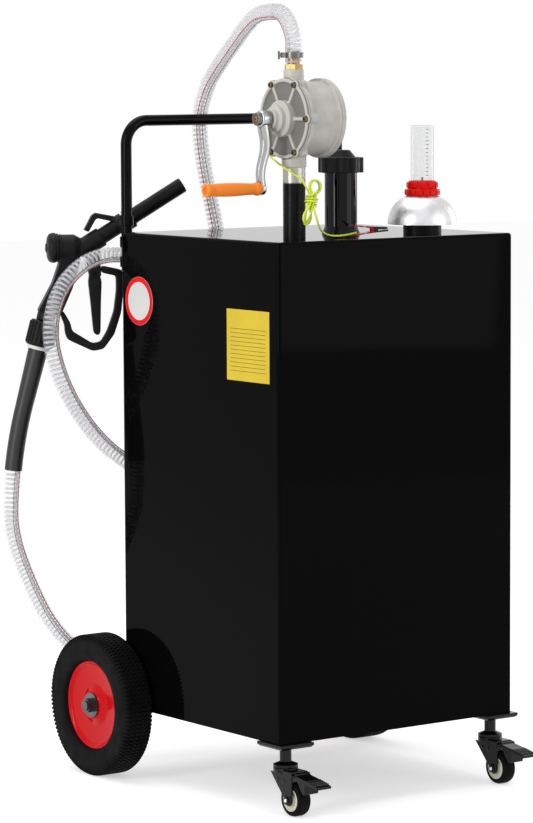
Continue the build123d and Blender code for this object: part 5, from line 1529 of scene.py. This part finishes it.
# The flat mouldings: node, outline, its lower corner along the nozzle and up, its size, thickness and body
FLAT_MOULDINGS = (
    ("trigger_guard", GUARD_SHARES, (-103.75, 548.0), (98.75, 133.0), 14.0, "root"),
    ("nozzle_trigger", TRIGGER_SHARES, (-60.0, 573.0), (21.0, 101.0), 12.0, "trigger"),
)


class CADDY_OT_nozzle(bpy.types.Operator):
    """Builds the nozzle, its holder, swivel and bend sleeve"""

    bl_idname = "caddy.nozzle"
    bl_label = "Nozzle"

    def execute(self, context):
        nozzle = settings("nozzle")
        black = satin_plastic("black_moulding")
        fixed = (black, "root", "black_plastic")
        turning = (black, "swivel", "black_plastic")
        moulded("nozzle_body", black, "black_plastic", 1.1, 12)
        moulded("spout_hook", black, "black_plastic", 0.8, 8)
        moulded("nozzle_holder", gloss_paint("handle_black_coat", 1.16), "black_paint", 0.8, 3)
        turn = Matrix((NOZZLE_ALONG, Vector((0.0, 0.0, 1.0)), NOZZLE_SIDE)).transposed().to_4x4()
        upright = Matrix.Translation(NOZZLE_ORIGIN * MM) @ turn
        for name, table, origin, size, thickness, body in FLAT_MOULDINGS:
            outline = [(origin[0] + a * size[0], origin[1] + u * size[1]) for a, u in table]
            form = cushion_form(eased(outline, 3), thickness, upright, 1.7)
            piece_from(f"{name}_moulding", form, (black, body, "black_plastic"), (name,), 50.0)
        cap = [
            (18.2, 12.0),
            (18.2, 21.4),
            (16.2, 22.6),
            (14.6, 21.6),
            (13.0, 23.3),
            (8.0, 23.4),
            (3.4, 21.2),
            (0.6, 15.5),
            (0.2, 8.0),
            (-0.6, 7.0),
            (-1.6, 6.6),
            (-1.9, 3.2),
            (-0.9, 2.4),
            (-0.9, 0.0),
        ]
        cap = [(18.2, 0.0), *soft_corners(cap, 2.2, 4, False)]
        at_cap = place_of(nozzle_point(CAP_ALONG, BODY_HEIGHT), NOZZLE_ALONG)
        turned("nozzle_cap_moulding", cap, at_cap, 72, fixed, ("nozzle_end_cap",), 45.0, False)
        bonnet = [(0.0, 14.0), (0.0, 20.6)]
        for index in range(nozzle.ridges):
            along = 0.6 + 4.6 * index
            radius = 21.4 - 0.9 * index
            bonnet += [(along, radius - 1.5), (along + 1.3, radius), (along + 3.3, radius - 0.2)]
        bonnet += [(4.8 * nozzle.ridges + 1.6, 14.0)]
        behind = place_of(nozzle_point(BONNET_ALONG, BODY_HEIGHT), NOZZLE_ALONG)
        turned("nozzle_bonnet", soft_corners(bonnet, 0.9, 3), behind, 72, fixed, (), 45.0)
        coated(black, "valve_stem", "nozzle_spout")
        coated(enamel("white_moulding", (0.78, 0.78, 0.76), 0.4), "swivel_ring")
        down = NOZZLE_ALONG * -math.sin(SWIVEL_LEAN) + Vector((0.0, 0.0, -math.cos(SWIVEL_LEAN)))
        at_swivel = place_of(nozzle_point(*SWIVEL_PLACE), down)
        core = [(0.4, 9.0), (0.4, 20.4), (2.6, 21.4), (37.6, 21.4), (39.9, 20.2), (39.9, 9.0)]
        turned("swivel_core", soft_corners(core, 1.2), at_swivel, 72, turning, ("nozzle_swivel",), 40.0)
        rib = slab_form((3.0, 3.2, 34.0), Matrix.Translation(mm(21.4, 0.0, 20.2)), 1.1, 3)
        copies_round("swivel_ribs", rib, nozzle.ribs, at_swivel, turning, smooth=40.0)
        coated(vinyl("sleeve_rubber", (0.006, 0.006, 0.0066), 1.0, 0.45, 0.12), "hose_sleeve")
        return {"FINISHED"}


class CADDY_OT_stickers(bpy.types.Operator):
    """Finishes the two blank stickers"""

    bl_idname = "caddy.stickers"
    bl_label = "Stickers"

    def execute(self, context):
        stickers = settings("stickers")
        colour = stickers.yellow
        yellow = sticker_film("yellow_film", colour, shade(colour, 0.95), shade(colour, 1.03))
        coated(yellow, "square_sticker")
        white = sticker_film("white_film", (0.66, 0.66, 0.65), (0.63, 0.63, 0.62), (0.68, 0.68, 0.67))
        coated(white, "round_sticker")
        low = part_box("round_sticker")[0]
        centre = centre_of("round_sticker")
        ring = [(-0.1, 29.2), (0.12, 29.2), (0.12, 36.8), (-0.1, 36.8)]
        at_face = place_of((low.x / MM, centre.y, centre.z), (-1.0, 0.0, 0.0))
        kind = (enamel("red_film", stickers.red, 0.3), "root", "white_sticker")
        turned("round_sticker_ring", ring, at_face, 96, kind)
        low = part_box("square_sticker")[0]
        centre = centre_of("square_sticker")
        kind = (enamel("sticker_ink", (0.03, 0.028, 0.02), 0.4), "root", "yellow_sticker")
        rule = slab_form((0.2, 88.0, 0.55), IN_PLACE)
        place = Matrix.Translation(mm(low.x / MM - 0.02, centre.y, centre.z + 24.0))
        copies_along("sticker_rules", rule, stickers.lines, (0.0, 0.0, -RULE_PITCH), place, kind)
        return {"FINISHED"}


class CADDY_OT_stage(bpy.types.Operator):
    """Lays the floor, hangs the lamps and lights the world"""

    bl_idname = "caddy.stage"
    bl_label = "Stage"

    def execute(self, context):
        stage = settings("stage")
        form = bmesh.new()
        square = [(x * FLOOR_REACH, y * FLOOR_REACH) for x, y in ((-1, -1), (1, -1), (1, 1), (-1, 1))]
        form.faces.new([form.verts.new((x, y, FLOOR_Z * MM)) for x, y in square])
        floor = added("floor", mesh_from("floor", form))
        coat = finish("floor_matte", stage.floor_colour, 0.9, specular=0.0)
        tree = coat.node_tree
        tree.nodes["Principled BSDF"].inputs["Emission Color"].default_value = (1.0, 1.0, 1.0, 1.0)
        feed(coat, "Emission Strength", calc(tree, "MULTIPLY", seen_rays(tree), stage.floor_lift))
        floor.data.materials.append(coat)
        self.light_world(context, stage)
        for label, size, place in LAMPS:
            lamp = bpy.data.lights.new(label, "AREA")
            lamp.energy = getattr(stage, f"{label}_power")
            lamp.shape = "RECTANGLE"
            lamp.size, lamp.size_y = size
            aim = (LAMP_TARGET - Vector(place)).to_track_quat("-Z", "Y").to_matrix().to_4x4()
            added(label, lamp).matrix_world = Matrix.Translation(place) @ aim
        return {"FINISHED"}

    def light_world(self, context, stage):
        """White where it is seen, and a soft level as light."""
        world = bpy.data.worlds.new("studio")
        context.scene.world = world
        world.use_nodes = True
        tree = world.node_tree
        background = tree.nodes["Background"].inputs
        background["Color"].default_value = (1.0, 1.0, 1.0, 1.0)
        inputs = {"Value": seen_rays(tree), "To Min": stage.world_level, "To Max": 1.0}
        level = node(tree, "ShaderNodeMapRange", "Result", inputs)
        tree.links.new(level, background["Strength"])


OPERATORS = (
    CADDY_OT_camera,
    CADDY_OT_hose,
    CADDY_OT_ground_wire,
    CADDY_OT_tank,
    CADDY_OT_wheels,
    CADDY_OT_casters,
    CADDY_OT_pump,
    CADDY_OT_crank,
    CADDY_OT_filler,
    CADDY_OT_gauge,
    CADDY_OT_nozzle,
    CADDY_OT_stickers,
    CADDY_OT_stage,
)


class CADDY_PT_panel(bpy.types.Panel):
    """Lists the caddy's pieces and their settings"""

    bl_idname = "CADDY_PT_panel"
    bl_label = "Fuel Caddy"
    bl_space_type = "VIEW_3D"
    bl_region_type = "UI"
    bl_category = "Fuel Caddy"

    def draw(self, context):
        column = self.layout.column()
        for operator in OPERATORS:
            column.operator(operator.bl_idname, text=operator.bl_label)
        for name, group in SETTING_GROUPS.items():
            box = self.layout.box()
            box.label(text=group.__doc__)
            for key in group.__annotations__:
                box.prop(settings(name), key)


def register():
    """Registers the settings, the operators and the panel."""
    for name, group in SETTING_GROUPS.items():
        bpy.utils.register_class(group)
        setattr(bpy.types.Scene, f"caddy_{name}", bpy.props.PointerProperty(type=group))
    for operator in OPERATORS:
        bpy.utils.register_class(operator)
    bpy.utils.register_class(CADDY_PT_panel)


def unregister():
    """Removes what register() added."""
    bpy.utils.unregister_class(CADDY_PT_panel)
    for operator in reversed(OPERATORS):
        bpy.utils.unregister_class(operator)
    for name, group in reversed(list(SETTING_GROUPS.items())):
        delattr(bpy.types.Scene, f"caddy_{name}")
        bpy.utils.unregister_class(group)


def main():
    """Builds the caddy and its stage, and notes the two boxes."""
    register()
    for operator in OPERATORS:
        group, name = operator.bl_idname.split(".")
        getattr(getattr(bpy.ops, group), name)()


if __name__ == "__main__":
    main()
